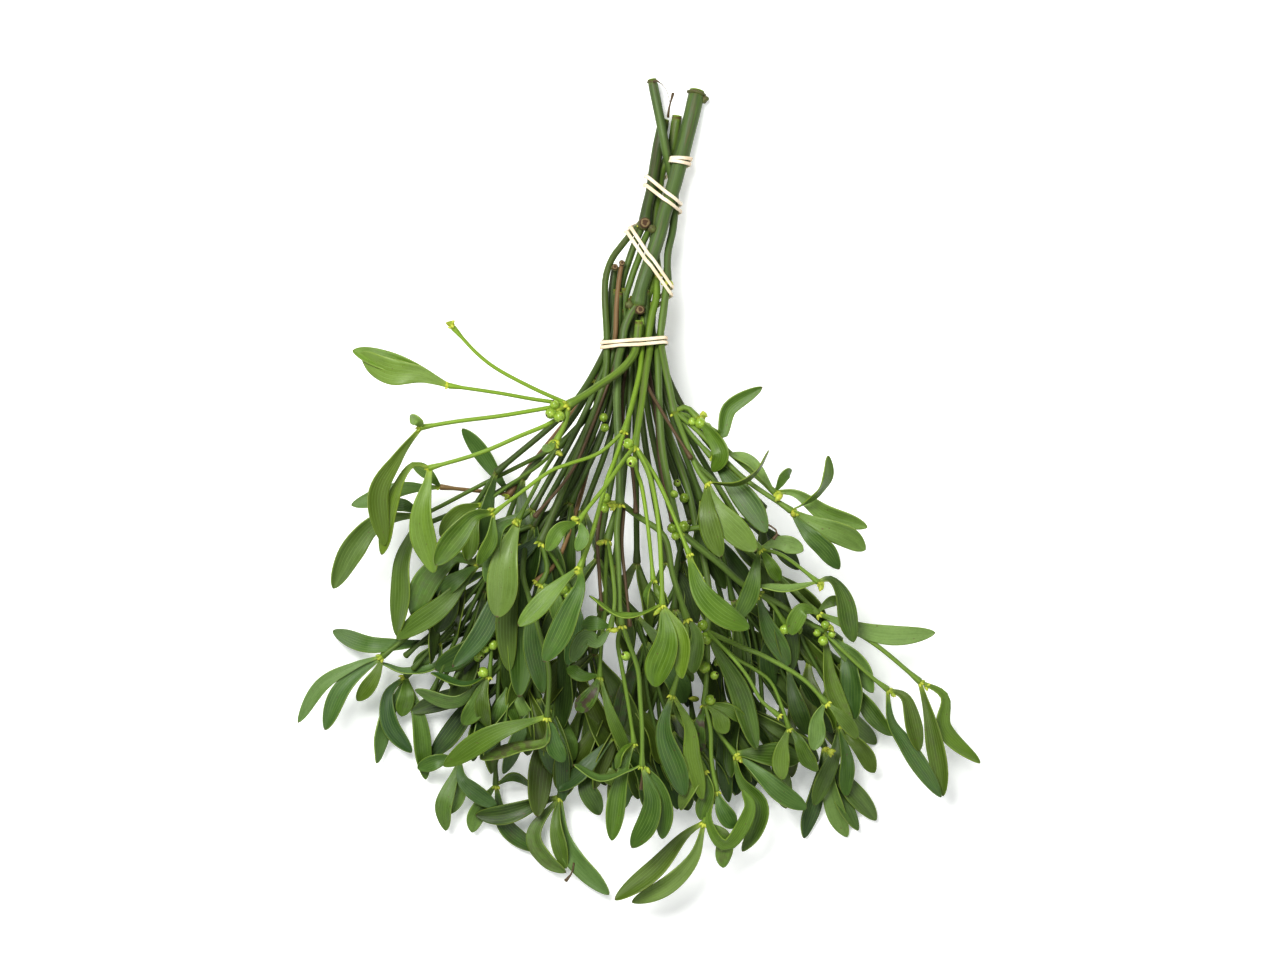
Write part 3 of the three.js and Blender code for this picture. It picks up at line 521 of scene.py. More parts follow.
def add_cluster(bm, joint, heading, radius, size=1.0):
    """The knot of three buds in the fork of a joint."""
    whims = random.Random(f"cluster {joint}")
    level = Vector((-heading.y, heading.x, 0)).normalized()
    up = heading.cross(level)
    for hand in (-1, 0, 1):
        spot = joint + heading * radius * BUD_AHEAD + level * hand * radius * BUD_ASIDE
        spot += up * radius * whims.uniform(*BUD_UP)
        tip = (heading + level * hand * BUD_LEAN + up * whims.uniform(*BUD_RISE)).normalized()
        add_bud(bm, spot, tip, size * (OUTER_BUD if hand else MIDDLE_BUD))


print("a bud is", round(2 * BUD_LENGTH, 1), "by", round(2 * BUD_WIDTH, 1), "mm")

# %% [markdown]
# ## What a sprig is made of
# A sprig is a stem that carries shoots, leaves and berries, and each shoot can carry more. So it
# is written the way it grew, as a nest of pieces. Each piece starts at the end of the shoot that
# carries it, and its route lists the places that it passes after that, in millimetres. The leaves
# differ a little in lift, arch and roll. Those draws are the same on every run and in the solids.

# %% Pieces of a sprig
LEAF_LIFT, LEAF_ARCH, LEAF_ROLL = 3.5, 3, 26
FIRST_DRAW, DRAW_FACTOR, DRAW_RANGE = 7, 16807, 2147483647


def stem(route, radii, carried=(), levels=None):
    return {"kind": "stem", "route": route, "radii": radii, "carried": carried, "levels": levels}


def leaf(route, width, roll=None, twist=0):
    return {"kind": "leaf", "route": route, "width": width, "roll": roll, "twist": twist}


def berry(x, y, radius):
    return {"kind": "berry", "place": (x, y), "radius": radius}


def draws():
    """Numbers from -1 to 1, the same row of them on every run."""
    seed = FIRST_DRAW
    while True:
        seed = seed * DRAW_FACTOR % DRAW_RANGE
        yield 2 * seed / DRAW_RANGE - 1


draw = draws()
print("pieces: stem, leaf, berry")

# %% [markdown]
# ## Growing a sprig
# Three meshes are filled while a sprig is walked: its leaves, its wood and its berries and buds.
# They are separate pieces because their finishes have nothing in common. A few leaves in a bunch
# are dark and leathery, pale with age or blotched with purple. They are named by where their tip
# lies.

# %% Leaf looks
# Tone (0 dark, 1 bright), pale and purple, for the leaves whose tips lie at these places.
MARKED_LEAVES = {
    (0.05, 0.0, 0.1): [(-101, -38), (22, -153), (58, -130), (-51, -164), (-82, -163.5),
                       (-93, -89), (-48, -102), (62.5, -22), (-47.5, -85.5), (151, -153.5),
                       (139, -131), (114.5, -125), (106, -76.5), (80, -135), (-104.5, -134.5),
                       (-114.5, -113)],
    (0.8, 0.85, 0.0): [(-70.5, -64), (-15.5, -203), (-170.5, -117), (-131.5, -137.5),
                       (-96.5, -163), (103.5, -174.4), (150, -154), (58, -49), (-138, 66),
                       (147, -72)],
    (0.45, 1.0, 0.0): [(44, 17), (81, -31)],
    (0.2, 0.0, 1.0): [(-31, -111), (31, -131)],
}
NEAR_TIP = 2.5
# Mean and spread of how pale, and how purple, any other leaf is.
PALE, PURPLE = (0.05, 0.3), (-0.3, 0.3)


def leaf_look(tip, whims):
    for look, tips in MARKED_LEAVES.items():
        if any((Vector(marked) - tip.to_2d()).length < NEAR_TIP for marked in tips):
            return look
    return (whims.random(), clamp(whims.gauss(*PALE)), clamp(whims.gauss(*PURPLE)))


print(sum(len(tips) for tips in MARKED_LEAVES.values()), "marked leaves")

# %% [markdown]
# A leaf leaves its joint level with it and arches on the way. One whose tip is written in the plan
# without a height also lifts or sinks a little towards its tip, by the next of the shared draws.

# %% Leaf routes
def leaf_route(start, places, levels):
    lift, arch = next(draw) * LEAF_LIFT, LEAF_ARCH + next(draw) * LEAF_ARCH
    flat = len(places[-1]) == 2
    route = [place_of(place, levels) for place in places]
    if len(route) == 1:
        route.insert(0, start.lerp(route[0], 0.5))
    for i, place in enumerate(route):
        out = (i + 1) / len(route)
        if flat:
            place.z += lift * out * out
        # The arch is highest halfway, where 4 * out * (1 - out) is 1.
        place.z = max(place.z + 4 * arch * out * (1 - out), UNDERSIDE if out < 1 else 0)
    return Route([start, *route])


print("a leaf arches by up to", 2 * LEAF_ARCH, "mm")

# %% [markdown]
# One function walks the nest. It calls itself for every piece that a stem carries, which is the
# shortest way to write a plant that forks again and again.

# %% Growing
BERRY_SEAT, BERRY_STRETCH = 1, 1.03
CLUSTER_SPREAD, THIN_JOINT = (0.7, 1.0), 2
MESH_KINDS = ("leaves", "wood", "fruit")
stems_grown = []


def grow(sprig, meshes, start=None, levels=(LEVELS / 2, LEVELS / 2)):
    """Adds one piece and all that it carries. Stems are kept for the band to lie against."""
    whims = random.Random(f"piece {sprig.get('route') or sprig['place']}")
    if sprig["kind"] == "berry":
        radius = sprig["radius"]
        tip = (Vector((*sprig["place"], start.z + radius)) - start).normalized()
        centre = start + tip * (radius + BERRY_SEAT)
        add_ball(meshes["fruit"], centre, tip, radius, BERRY_STRETCH, (whims.random(), 1, 0))
        return
    if sprig["kind"] == "leaf":
        route = leaf_route(start, sprig["route"], levels)
        drawn = next(draw) * LEAF_ROLL
        roll = drawn if sprig["roll"] is None else sprig["roll"]
        look = leaf_look(route.knots[-2], whims)
        add_leaf(meshes["leaves"], route, sprig["width"], roll, sprig["twist"], look)
        return
    levels = sprig["levels"] or levels
    places = [place_of(place, levels) for place in sprig["route"]]
    if start:
        places.insert(0, start)
    route = Route(places)
    add_shoot(meshes["wood"], route, sprig["radii"], whims.random())
    stems_grown.append((route, sprig["radii"]))
    radius = sprig["radii"][1] + JOINT_FLARE
    size = clamp(radius / 2) * whims.uniform(*CLUSTER_SPREAD)
    if sprig["carried"] or radius < THIN_JOINT:
        add_cluster(meshes["fruit"], places[-1], route.heading(1), radius, size)
    for carried in sprig["carried"]:
        grow(carried, meshes, places[-1], levels)


def new_meshes():
    return {kind: new_mesh() for kind in MESH_KINDS}


print("each sprig fills a mesh of", ", ".join(MESH_KINDS))

# %% [markdown]
# ## The sprigs
# The routes are written down one sprig at a time, from its cut end to its last leaf. A rule could
# grow a bush, but not this bunch: where each leaf falls gives it its outline. Each stem lists its
# places, its radius at both ends, what it carries, and the levels of the heap that it lies on,
# where they differ from those of the stem before it. The first is the thick stem in front, which
# bears the middle of the bunch.

# %% Middle sprig
MIDDLE_SPRIG = stem([[28.5, 198.5, 3.45], [26, 187, 6.5], [23, 175, 9.5], [20, 162.5, 13.5],
  [16, 148, 18], [12.5, 138, 21.5], [10, 128, 25], [6.5, 117, 28], [3, 107, 31], [0.5, 99, 33],
  [-1, 92, 34.5]], [4.2, 3.4], [
  stem([[-4.5, 87, 35.8], [-7.8, 79, 36.6], [-8.6, 72, 37.2], [-11, 62], [-11.3, 40], [-10.3, 15],
    [-10, -7]], [2.3, 1.9], [
    stem([[-15.5, -7.5]], [1.2, 1.2], [
      berry(-19, -11.5, 2.5),
      berry(-18, -3, 2.5),
    ]),
    stem([[-13, -15], [-16, -25]], [1.8, 1.8], [
      stem([[-17, -45], [-17, -60], [-19, -75], [-20, -93]], [1.1, 1], [
        leaf([[-14, -112], [-5, -136]], 6),
        leaf([[-25, -103], [-31, -111]], 8),
        leaf([[-30, -92], [-36, -89]], 6),
      ], [4, 3.1]),
      stem([[-13.5, -42], [-12.5, -56], [-14.5, -68.5]], [1.1, 1], [
        leaf([[-21, -67], [-29, -68]], 7),
        leaf([[-21, -76], [-27, -74], [-34, -86]], 8),
      ], [4.6, 4.4]),
    ], [4.4, 3.6]),
    stem([[-11.5, -20], [-10.5, -40], [-10, -58], [-9, -67]], [1.6, 1.4], [
      stem([[-5, -78], [-1, -90], [0, -103], [1, -120], [1, -137]], [1.3, 1.1], [
        leaf([[5, -147], [6, -158], [-4, -178.5]], 10.5, 12),
        leaf([[9, -146], [12, -158], [11, -174]], 8.5),
        leaf([[-5, -140], [-20, -144.5], [-33, -137]], 8, 74),
      ]),
      stem([[-11, -76], [-9.5, -86], [-7, -100], [-5, -112], [-3, -126]], [1.1, 1], [
        leaf([[-7, -138], [-12, -155], [-14, -175]], 8.5),
        leaf([[-9, -131], [-12, -139]], 6, 60),
      ], [4.4, 3.3]),
    ]),
    stem([[-1, -14], [12, -24], [16, -42], [20, -55], [23, -64]], [1.6, 1.5], [
      stem([[23, -78], [19, -92], [16, -102]], [1.3, 1.1], [
        leaf([[13, -122], [22, -153]], 11),
        leaf([[25, -118], [26, -135], [31, -155]], 8),
        stem([[18, -112], [26, -124], [32, -140]], [1, 0.9], [
          leaf([[34, -150], [30, -165]], 7),
          leaf([[26, -148], [20, -160]], 7),
        ], [3, 2.5]),
      ]),
      leaf([[28, -74], [26, -92]], 8),
    ], [3.6, 3]),
  ], [4.8, 3.9]),
  stem([[-3, 86, 30], [-1.8, 80, 29], [1, 74, 28.9], [4, 66, 28.9], [9, 48], [15, 25], [21, 8],
    [25, -5], [29, -25], [33, -42], [34.5, -56], [33, -71]], [1.9, 1.6], [
    berry(32, -78, 3.3),
    berry(29.5, -65.5, 2.7),
    stem([[45, -83], [53, -93], [60, -105], [68, -112]], [1, 0.9], [], [3.6, 4.2]),
    stem([[50, -78.5], [62, -83.5], [80, -94], [92, -106]], [1.3, 1.1], [
      leaf([[99, -112], [108, -124]], 7),
      leaf([[88, -116], [86, -130]], 8),
    ], [3, 3.6]),
    stem([[47, -84], [57, -90], [66, -98], [74, -119]], [1, 0.9], [
      leaf([[80, -128], [88, -141]], 8),
      leaf([[70, -130], [71, -145]], 8),
    ], [2.2, 2.5]),
    stem([[33.5, -86], [32, -107]], [1.5, 1.3], [
      berry(37, -104, 2.7),
      leaf([[38, -112], [43, -122]], 8),
      leaf([[44, -110], [53, -116]], 6),
      leaf([[29, -118], [31, -131]], 6),
      stem([[35, -120], [35.5, -135], [38, -150]], [1.2, 1.1], [
        leaf([[34, -165], [43, -177], [54, -160], [51, -150]], 7, 35),
        leaf([[41, -160], [47, -169]], 8),
        stem([[35, -158], [32, -166]], [1.1, 1], [
          leaf([[22, -173], [8, -190], [-12.5, -205]], 9.5),
          leaf([[26, -184], [14, -198], [-4, -206.5]], 8.5),
          leaf([[41, -174], [41.5, -189]], 8),
        ]),
      ], [2.5, 2.5]),
      stem([[38, -120], [47, -132]], [1.2, 1.1], [
        leaf([[50, -146], [59, -158], [57, -171], [51, -181]], 8),
        leaf([[58, -132], [80, -135]], 11.5),
        leaf([[64, -146], [83, -160]], 9),
      ], [2, 1.8]),
    ]),
    leaf([[47, -98], [58, -130]], 10),
  ], [2.3, 2.3]),
])
print("middle sprig carries", len(MIDDLE_SPRIG["carried"]), "branches")

# %% [markdown]
# The dark stem beside the thick one bears the sprig that lies on top of the others, at the front.
# Its levels are the highest, and its shoots come down in a fan.

# %% Front sprig
FRONT_SPRIG = stem([[18.5, 186, 3.2], [17, 175, 3.4], [15.4, 168, 3.8], [13.3, 163, 4],
  [10.4, 158, 5.3], [9, 148, 8.5], [7.5, 138, 12], [7, 128, 16], [7.5, 118, 20],
  [8, 108, 24]], [2.7, 2.4], [
  stem([[5.9, 101, 27], [4.2, 94.5, 28.2], [3, 89, 30.3], [1.6, 84, 32.4], [0.9, 76, 34.6],
    [1, 70, 36], [0, 58], [-3.5, 43], [-7.5, 28.5]], [1.6, 1.4], [
    stem([[-12, 15], [-16, 5], [-19, -6], [-25, -27], [-29.5, -38.5]], [1.2, 1.1], [
      leaf([[-43, -51], [-60, -68]], 9),
      leaf([[-30, -53], [-47.5, -85.5]], 11, 10),
    ]),
    stem([[-20, 17.5], [-35, 12], [-45, 8], [-60, -3], [-72, -12]], [1, 0.9], [
      leaf([[-84, -15], [-101, -38]], 11),
      leaf([[-74, -24], [-80, -38]], 7),
    ], [5.4, 4.4]),
  ]),
  stem([[8.2, 98, 28], [8, 94, 30], [6.2, 87, 33], [4.9, 80, 35.5], [4.2, 75.5, 36.5], [5, 70, 37.5],
    [3, 58], [1, 43], [-2.5, 21]], [2, 1.7], [
    berry(-8, 22.5, 2.8),
    stem([[4, 8], [7.5, -6], [9.5, -22], [10.5, -40], [11, -57]], [1.3, 1.1], [
      leaf([[12, -75], [7, -98]], 13, 8),
      leaf([[20, -74], [20.5, -94]], 8),
      leaf([[0, -62.5], [-12, -63], [-25, -53]], 8, 72),
    ]),
    stem([[8, 5], [15, -10], [24, -32]], [1.2, 1], [
      leaf([[30, -50], [40, -62], [54, -69]], 12),
      leaf([[29, -42], [34, -53]], 6, 55),
    ], [5.6, 5]),
    stem([[-2, 10], [1, 0], [4, -20], [6.5, -45]], [1.1, 0.9], [
      leaf([[3.5, -52], [4, -60]], 6, 62),
      leaf([[9, -51], [14, -57]], 5),
    ], [5.3, 4.9]),
    stem([[-10, 11], [-17, 1], [-25, -9], [-30, -16]], [1.2, 1], [
      leaf([[-39, -21], [-46, -31]], 7),
      leaf([[-28, -23], [-31, -31]], 6),
    ], [6.7, 6.3]),
  ]),
], [6, 5.2])
print("front sprig carries", len(FRONT_SPRIG["carried"]), "branches")

# %% [markdown]
# A short sprig lies across the others to the upper left, where its leaves stand free.

# %% Upper left sprig
UPPER_LEFT_SPRIG = stem([[-0.5, 83, 39.3], [-1.5, 73, 40.2], [-3.2, 66, 43], [-10, 58], [-20, 51],
  [-28, 45.5], [-35, 41.5]], [2.2, 1.9], [
  stem([[-41, 38.5]], [1.3, 1.3], [
    berry(-43, 43, 2.4),
    berry(-46, 36, 2.8),
    berry(-39.5, 34, 2.9),
  ]),
  stem([[-52, 49], [-70, 58.5], [-81, 67], [-92, 79]], [1, 0.9]),
  stem([[-53, 44], [-70, 47], [-94, 50.5]], [1, 0.9], [
    leaf([[-108, 54.5], [-123, 58], [-138, 66.5]], 12, -8),
    leaf([[-109, 57, 76.5], [-126, 64, 73.5], [-142, 68, 71]], 9, 0),
  ], [6.4, 3.8]),
  stem([[-52, 38.5], [-70, 35.5], [-90, 33], [-108, 30]], [1.1, 1], [
    leaf([[-120, 15], [-130, -3], [-126, -28.5]], 9.5),
    leaf([[-110, 33], [-113.5, 35]], 5),
  ]),
  stem([[-43, 33], [-60, 25.5], [-80, 17], [-104, 10]], [1.1, 1], [
    leaf([[-113, 11], [-121, -5], [-128, -33]], 8, 40),
    leaf([[-107, -14], [-102, -42]], 12, 10),
  ], [5.8, 3]),
  stem([[-37, 32], [-41, 24]], [1.4, 1.2], [
    leaf([[-44.5, 20], [-48, 20.5]], 4),
  ]),
], [6.4, 3.4])
print("upper left sprig carries", len(UPPER_LEFT_SPRIG["carried"]), "branches")

# %% [markdown]
# The dark stem on the left forks in three where the band holds it. The branches pass the neck side
# by side and fill the left side.

# %% Left sprig
LEFT_SPRIG = stem([[12, 184, 3.3], [10.3, 176, 4.3], [9, 170, 5.4], [7, 158, 10.4],
  [5.5, 148, 14], [3.5, 140, 17], [2.5, 133, 19]], [3, 2.7], [
  stem([[-4, 127, 21], [-9, 121, 23], [-14, 114, 26], [-17, 105, 29], [-17.5, 95, 32], [-17, 85, 34],
    [-16.5, 72, 35], [-18, 52], [-29, 22], [-38, 0], [-49, -26]], [1.7, 1.8], [
    stem([[-46, -40], [-49, -47]], [1.4, 1.2], [
      leaf([[-54, -75], [-48, -102]], 9),
      leaf([[-42, -54], [-40, -68]], 7),
    ]),
    stem([[-41, -38], [-35, -50]], [1.2, 1.1], [
      berry(-39.5, -50.5, 3),
      berry(-37, -55, 2.3),
      leaf([[-31, -68], [-36, -88]], 8),
    ], [3.2, 2.4]),
  ], [3.4, 3]),
  stem([[4.2, 128, 22], [1.7, 123, 24], [0, 116, 26], [-2.7, 109, 28], [-5, 102, 29.5], [-7, 95.5, 30],
    [-7.8, 88, 30.3], [-6.5, 82, 31], [-4.5, 73, 32], [-6, 58], [-20, 42], [-40, 21]], [1.7, 1.6], [
    stem([[-60, 11], [-80, 1], [-100, -9.5], [-109, -13.5]], [1.1, 1], [
      leaf([[-130, -17], [-144, -30], [-152.5, -50]], 11),
      leaf([[-117, -35], [-119, -55], [-121, -73.5]], 10.5),
      leaf([[-117, -8], [-125, -9]], 6),
    ]),
    stem([[-48, 8], [-52, 0], [-60, -15]], [1.1, 1], [
      leaf([[-66, -38], [-70.5, -64]], 14.5, 4),
      leaf([[-70, -22], [-76, -47]], 8),
    ], [4.4, 3.8]),
    stem([[-50, 11.5], [-64, 2], [-78, -8]], [0.9, 0.9], [
      leaf([[-90, -12], [-99, -24]], 8),
      leaf([[-83, -20], [-86, -36]], 8),
    ], [3, 2.6]),
  ], [2.7, 2]),
  stem([[-0.8, 126, 22], [-3.6, 119, 22.5], [-6.3, 111, 24], [-8.5, 104, 25.5], [-9.6, 97, 27],
    [-10, 85, 29], [-9.5, 73, 30.5], [-12, 55], [-20, 25], [-40, -7], [-57, -28]], [1.8, 2], [
    stem([[-62, -38], [-75, -45], [-95, -58], [-128, -83.5]], [1.4, 1.2], [
      leaf([[-142, -88], [-158, -98], [-170.5, -117]], 6.5),
      leaf([[-148, -100], [-157, -120.5]], 8.5),
      leaf([[-133, -96], [-141, -106]], 7),
    ], [2.4, 1.5]),
    stem([[-66, -36], [-80, -38]], [1.2, 1], [
      leaf([[-93, -34], [-105, -46], [-113, -64]], 12),
      leaf([[-98, -57], [-121, -75]], 10),
      leaf([[-93, -46], [-101, -53]], 8),
    ], [2.6, 2.2]),
    stem([[-66, -46], [-80, -60], [-99, -76]], [1.4, 1.2], [
      leaf([[-121, -78], [-137, -78], [-153.5, -71.5, 0]], 8),
      leaf([[-101, -88], [-117, -92], [-130, -87]], 7, 55),
      leaf([[-106, -66], [-112, -68.5]], 6),
      leaf([[-106, -84], [-113, -91]], 7),
    ], [2, 1.1]),
    stem([[-63, -50], [-72, -70], [-75, -93]], [1.1, 1], [
      berry(-79.5, -91, 2.8),
      leaf([[-91, -106], [-112, -100.5]], 7),
      leaf([[-88, -98], [-104, -92]], 6, 65),
      leaf([[-80, -104], [-88, -118]], 9),
      leaf([[-79, -108], [-75, -120]], 8),
    ], [2.4, 1.9]),
    stem([[-61, -48], [-66, -72], [-64.5, -95.5]], [1.1, 1], [
      leaf([[-69, -110], [-70, -125]], 8),
      leaf([[-64, -108], [-61, -119]], 7),
      leaf([[-57, -110], [-50, -125]], 8),
    ], [2, 1.4]),
    stem([[-58, -42], [-55, -54], [-48, -78], [-45, -92], [-46, -113]], [1.5, 1.2], [
      leaf([[-70, -121], [-97.5, -138]], 10),
      leaf([[-47, -126], [-62, -130], [-79, -134.5]], 8, 50),
      leaf([[-43, -124], [-38, -136]], 8),
    ], [4, 3.4]),
    leaf([[-66, -58], [-65, -91]], 10),
    leaf([[-75, -66], [-93, -89]], 10),
    leaf([[-60, -60], [-60, -104]], 13),
  ]),
], [2.2, 2.3])
print("left sprig carries", len(LEFT_SPRIG["carried"]), "branches")

# %% [markdown]
# A dry brown twig, with a few leaves left on it, lies between the sprigs of the left side.

# %% Dry twig
DRY_TWIG = stem([[-9, 112, 29], [-10.5, 103, 31], [-11.7, 90, 33.5], [-12.2, 76, 34.3], [-14.5, 66],
  [-21, 54]], [1.2, 1.4], [
  stem([[-36, 34], [-52, 14], [-65, -3]], [1.4, 1.5], [
    leaf([[-76, 14], [-88.5, 29.5]], 8),
    stem([[-80, -1.5], [-99, 0.5]], [1, 0.9], [
      leaf([[-122, -2], [-143.5, -8.5]], 8),
      leaf([[-104, 6], [-113, 12]], 6),
    ]),
  ], [1.8, 1.8]),
  stem([[-24, 20], [-32, -12], [-41, -36], [-51, -46]], [1.3, 1.1], [], [1.3, 3.45]),
], [2.5, 2.5])
print("dry twig carries", len(DRY_TWIG["carried"]), "branches")

# %% [markdown]
# The thin pale stem passes under the thick one and fills the right side.

# %% Right sprig
RIGHT_SPRIG = stem([[6, 204, 6], [10, 184, 9.6], [11.5, 176, 10.7], [13, 168, 10.6], [14.2, 163, 9.7],
  [15.7, 156, 8.8], [17.3, 146, 11.2], [16.5, 130, 17], [14, 118, 22.3], [13.6, 109, 26.4],
  [13.5, 104, 28]], [2.6, 1.8], [
  stem([[12.9, 97, 30.5], [11.7, 89, 33], [10.6, 81, 35], [10.3, 73, 36.5], [12.5, 60], [17, 38]],
    [1.9, 1.8], [
    stem([[22, 25], [28, 10], [33, 3]], [1.5, 1.3], [
      leaf([[47, 2], [57, 8], [63.5, 18.5]], 8, 74),
      leaf([[40, -14], [57.5, -31]], 12),
      leaf([[33, -14], [40, -34]], 10),
    ], [5.4, 4.6]),
    stem([[28, 33], [45, 17], [66.5, -2]], [1.3, 1.1], [
      leaf([[78, -3], [93, -12], [112.5, -19.5]], 8),
      leaf([[56, 12], [44, 17]], 6),
      leaf([[72, 6], [75, 9]], 5),
    ], [4.6, 3.4]),
    stem([[30, 27], [50, 6], [74.5, -11]], [1.3, 1.2], [
      leaf([[84, -6], [92, 3], [93, 16]], 8, 72),
      leaf([[92, -19], [111.5, -30.5]], 10.5),
      leaf([[86, -25], [98.5, -40]], 9),
    ], [5.2, 3.8]),
    stem([[23, 40], [28, 35]], [1.4, 1.3], [
      berry(31.5, 29.5, 2.8),
      berry(24, 31, 2.2),
      leaf([[40, 26], [44, 40], [60.5, 50]], 7),
      leaf([[40, 18], [36, 8]], 8),
    ], [5.2, 4.2]),
    stem([[27, 14], [38, 2], [50, -17], [59.5, -30]], [1.3, 1.1], [
      leaf([[56, -46], [48, -66]], 8.5),
      leaf([[65, -38], [69, -46]], 6),
      leaf([[72, -27], [81, -31]], 8),
      stem([[70, -33], [80, -40], [88, -46.5]], [1, 0.9], [
        leaf([[95, -46], [102, -58], [106, -76.5]], 9),
        leaf([[73, -50], [58, -49]], 6, 45),
      ]),
    ], [4.2, 2.6]),
    stem([[25, 27], [35, 16]], [1.2, 1.1], [
      leaf([[50, -2], [62.5, -22]], 11),
    ], [4.7, 4.2]),
  ], [5, 3]),
  stem([[12.7, 97, 27.2], [12, 90, 28.3], [11, 82, 29], [9.5, 73, 29.5], [9, 62], [11, 20],
    [19, -21]], [1.9, 1.9], [
    berry(13.5, -19, 2.5),
    berry(24.5, -17, 2.8),
    berry(16, -27, 2.2),
    stem([[30, -30], [40, -38], [50, -47], [58, -52]], [1.9, 1.7], [
      leaf([[65, -71], [74, -88.5]], 9),
      stem([[65, -57], [72, -67]], [1.2, 1.1], [
        berry(77, -67.5, 2.7),
        berry(72.5, -73, 2.7),
      ]),
      stem([[70, -58], [80, -65], [91, -71]], [1.6, 1.3], [
        berry(93.5, -66, 2.4),
        leaf([[95, -95], [105.5, -119]], 8),
        leaf([[105, -84], [116, -102]], 9),
        stem([[100, -80], [114, -93], [123, -100]], [1.1, 1], [
          leaf([[125, -116], [134, -129], [150, -154]], 8),
          leaf([[133, -106], [139, -131]], 8),
        ], [4, 2]),
        stem([[94, -82], [98, -93]], [1.1, 1], [
          leaf([[104, -112], [118, -128, 0]], 8),
          leaf([[112, -108], [126, -123.5]], 8),
          leaf([[93, -108], [96, -122]], 8),
        ], [4, 1.1]),
      ]),
    ]),
    stem([[34, -20], [50, -29], [70, -45], [88, -62]], [1.4, 1.2], [
      leaf([[80, -60], [75, -73]], 8),
      stem([[106, -71], [120, -80], [139, -96]], [1.2, 1.1], [
        leaf([[147, -124], [151, -153.5]], 8.5),
        leaf([[151, -104], [151, -120], [169.5, -137]], 8),
      ]),
      leaf([[116, -73], [147, -72]], 9),
      leaf([[95.5, -56], [100, -57]], 5),
    ], [4, 1.9]),
  ], [4.3, 1.6]),
])
print("right sprig carries", len(RIGHT_SPRIG["carried"]), "branches")

# %% [markdown]
# Two sprigs at the back of the bundle carry the foliage underneath, down to the tips.

# %% Lower left sprig
LOWER_LEFT_SPRIG = stem([[-12.4, 110, 22.8], [-14, 97, 26], [-14.5, 85, 27], [-14, 73, 27.3],
  [-18, 50], [-30, 8]], [2, 1.9], [
  stem([[-34, -35], [-28, -80], [-27, -108]], [1.7, 1.5], [
    leaf([[-25, -128], [-17, -148.5]], 9),
    stem([[-31, -122], [-35, -135], [-40, -154]], [1.4, 1.2], [
      leaf([[-38, -173], [-29, -188], [-15.5, -203]], 9.5),
      leaf([[-42, -172], [-37, -190]], 7),
      leaf([[-52, -172], [-47, -185], [-37, -192]], 8),
      leaf([[-60, -161], [-82, -163.5]], 9),
    ], [0.9, 0.6]),
    stem([[-24, -122], [-24, -134]], [1, 0.9], [
      leaf([[-26, -150], [-20, -163]], 9),
      leaf([[-18, -142], [-10, -148]], 7),
    ], [0.9, 1]),
  ]),
  stem([[-38, -40], [-38, -80], [-41, -107]], [1.6, 1.4], [
    leaf([[-50, -135], [-51, -164]], 12),
    leaf([[-36, -122], [-33, -136]], 8),
  ], [0.9, 1]),
  stem([[-44, -30], [-56, -65], [-67, -98]], [1.8, 1.6], [
    leaf([[-86, -112], [-104.5, -134.5]], 10),
    leaf([[-87, -102], [-114.5, -112]], 9),
    stem([[-72, -120], [-72, -148]], [1.2, 1.1], [
      leaf([[-68, -168], [-51, -181.5]], 8),
      leaf([[-62, -144], [-53, -149]], 7, 50),
      leaf([[-80, -158], [-84, -172]], 8),
    ]),
    stem([[-78, -118], [-90, -135]], [1.2, 1.1], [
      leaf([[-90, -150], [-96.5, -163]], 8),
      leaf([[-97, -156], [-97, -171]], 8),
      leaf([[-101, -136], [-111, -140]], 7),
      leaf([[-88, -148], [-71.5, -159]], 8),
    ], [0.9, 0.7]),
  ]),
  stem([[-52, -30], [-78, -62], [-117, -94]], [1.5, 1.2], [
    leaf([[-126, -103], [-125, -118], [-114, -132]], 8),
    leaf([[-126, -115], [-131.5, -137.5]], 8),
    leaf([[-117, -104], [-119, -114]], 8),
    leaf([[-110, -118], [-107, -145.5]], 8),
  ]),
], [0.9, 0.35])
print("lower left sprig carries", len(LOWER_LEFT_SPRIG["carried"]), "branches")

# %% Lower right sprig
LOWER_RIGHT_SPRIG = stem([[3, 111, 19], [1, 100, 22], [-1, 88, 24], [-3, 73, 25.5], [4, 50], [28, -10],
  [58, -62], [75, -97]], [2.1, 1.6], [
  stem([[82, -108], [88, -118], [92, -129]], [1.3, 1.2], [
    leaf([[89, -145], [86, -158], [82, -175]], 8.5),
    leaf([[101, -144], [118, -166]], 9),
    leaf([[97, -148], [109, -171]], 8),
    leaf([[94, -150], [103.5, -174.4]], 9),
  ]),
  stem([[86, -104], [99, -118]], [1.2, 1], [
    leaf([[95, -138], [87, -158.5]], 8),
    leaf([[108, -128], [117, -142]], 8),
    leaf([[102, -134], [103, -154]], 7),
  ], [0.9, 1]),
  stem([[70, -112], [66, -126]], [1.2, 1], [
    leaf([[70, -145], [73, -160]], 9),
    leaf([[58, -140], [54, -152]], 8),
  ]),
], [0.9, 0.3])
print("lower right sprig carries", len(LOWER_RIGHT_SPRIG["carried"]), "branches")

# %% [markdown]
# ## Finishes
# Living leaves are satin, not glossy: a thick skin with fine lengthwise veins, a thin bright rim,
# a yellowish base and small brown marks. Nothing here is a picture. Each leaf vertex says how far
# across and along its leaf it lies, so a few nodes can draw veins and rims that bend with it, and
# noise on the object's own coordinates gives the rest. A small kit of node helpers keeps it short.

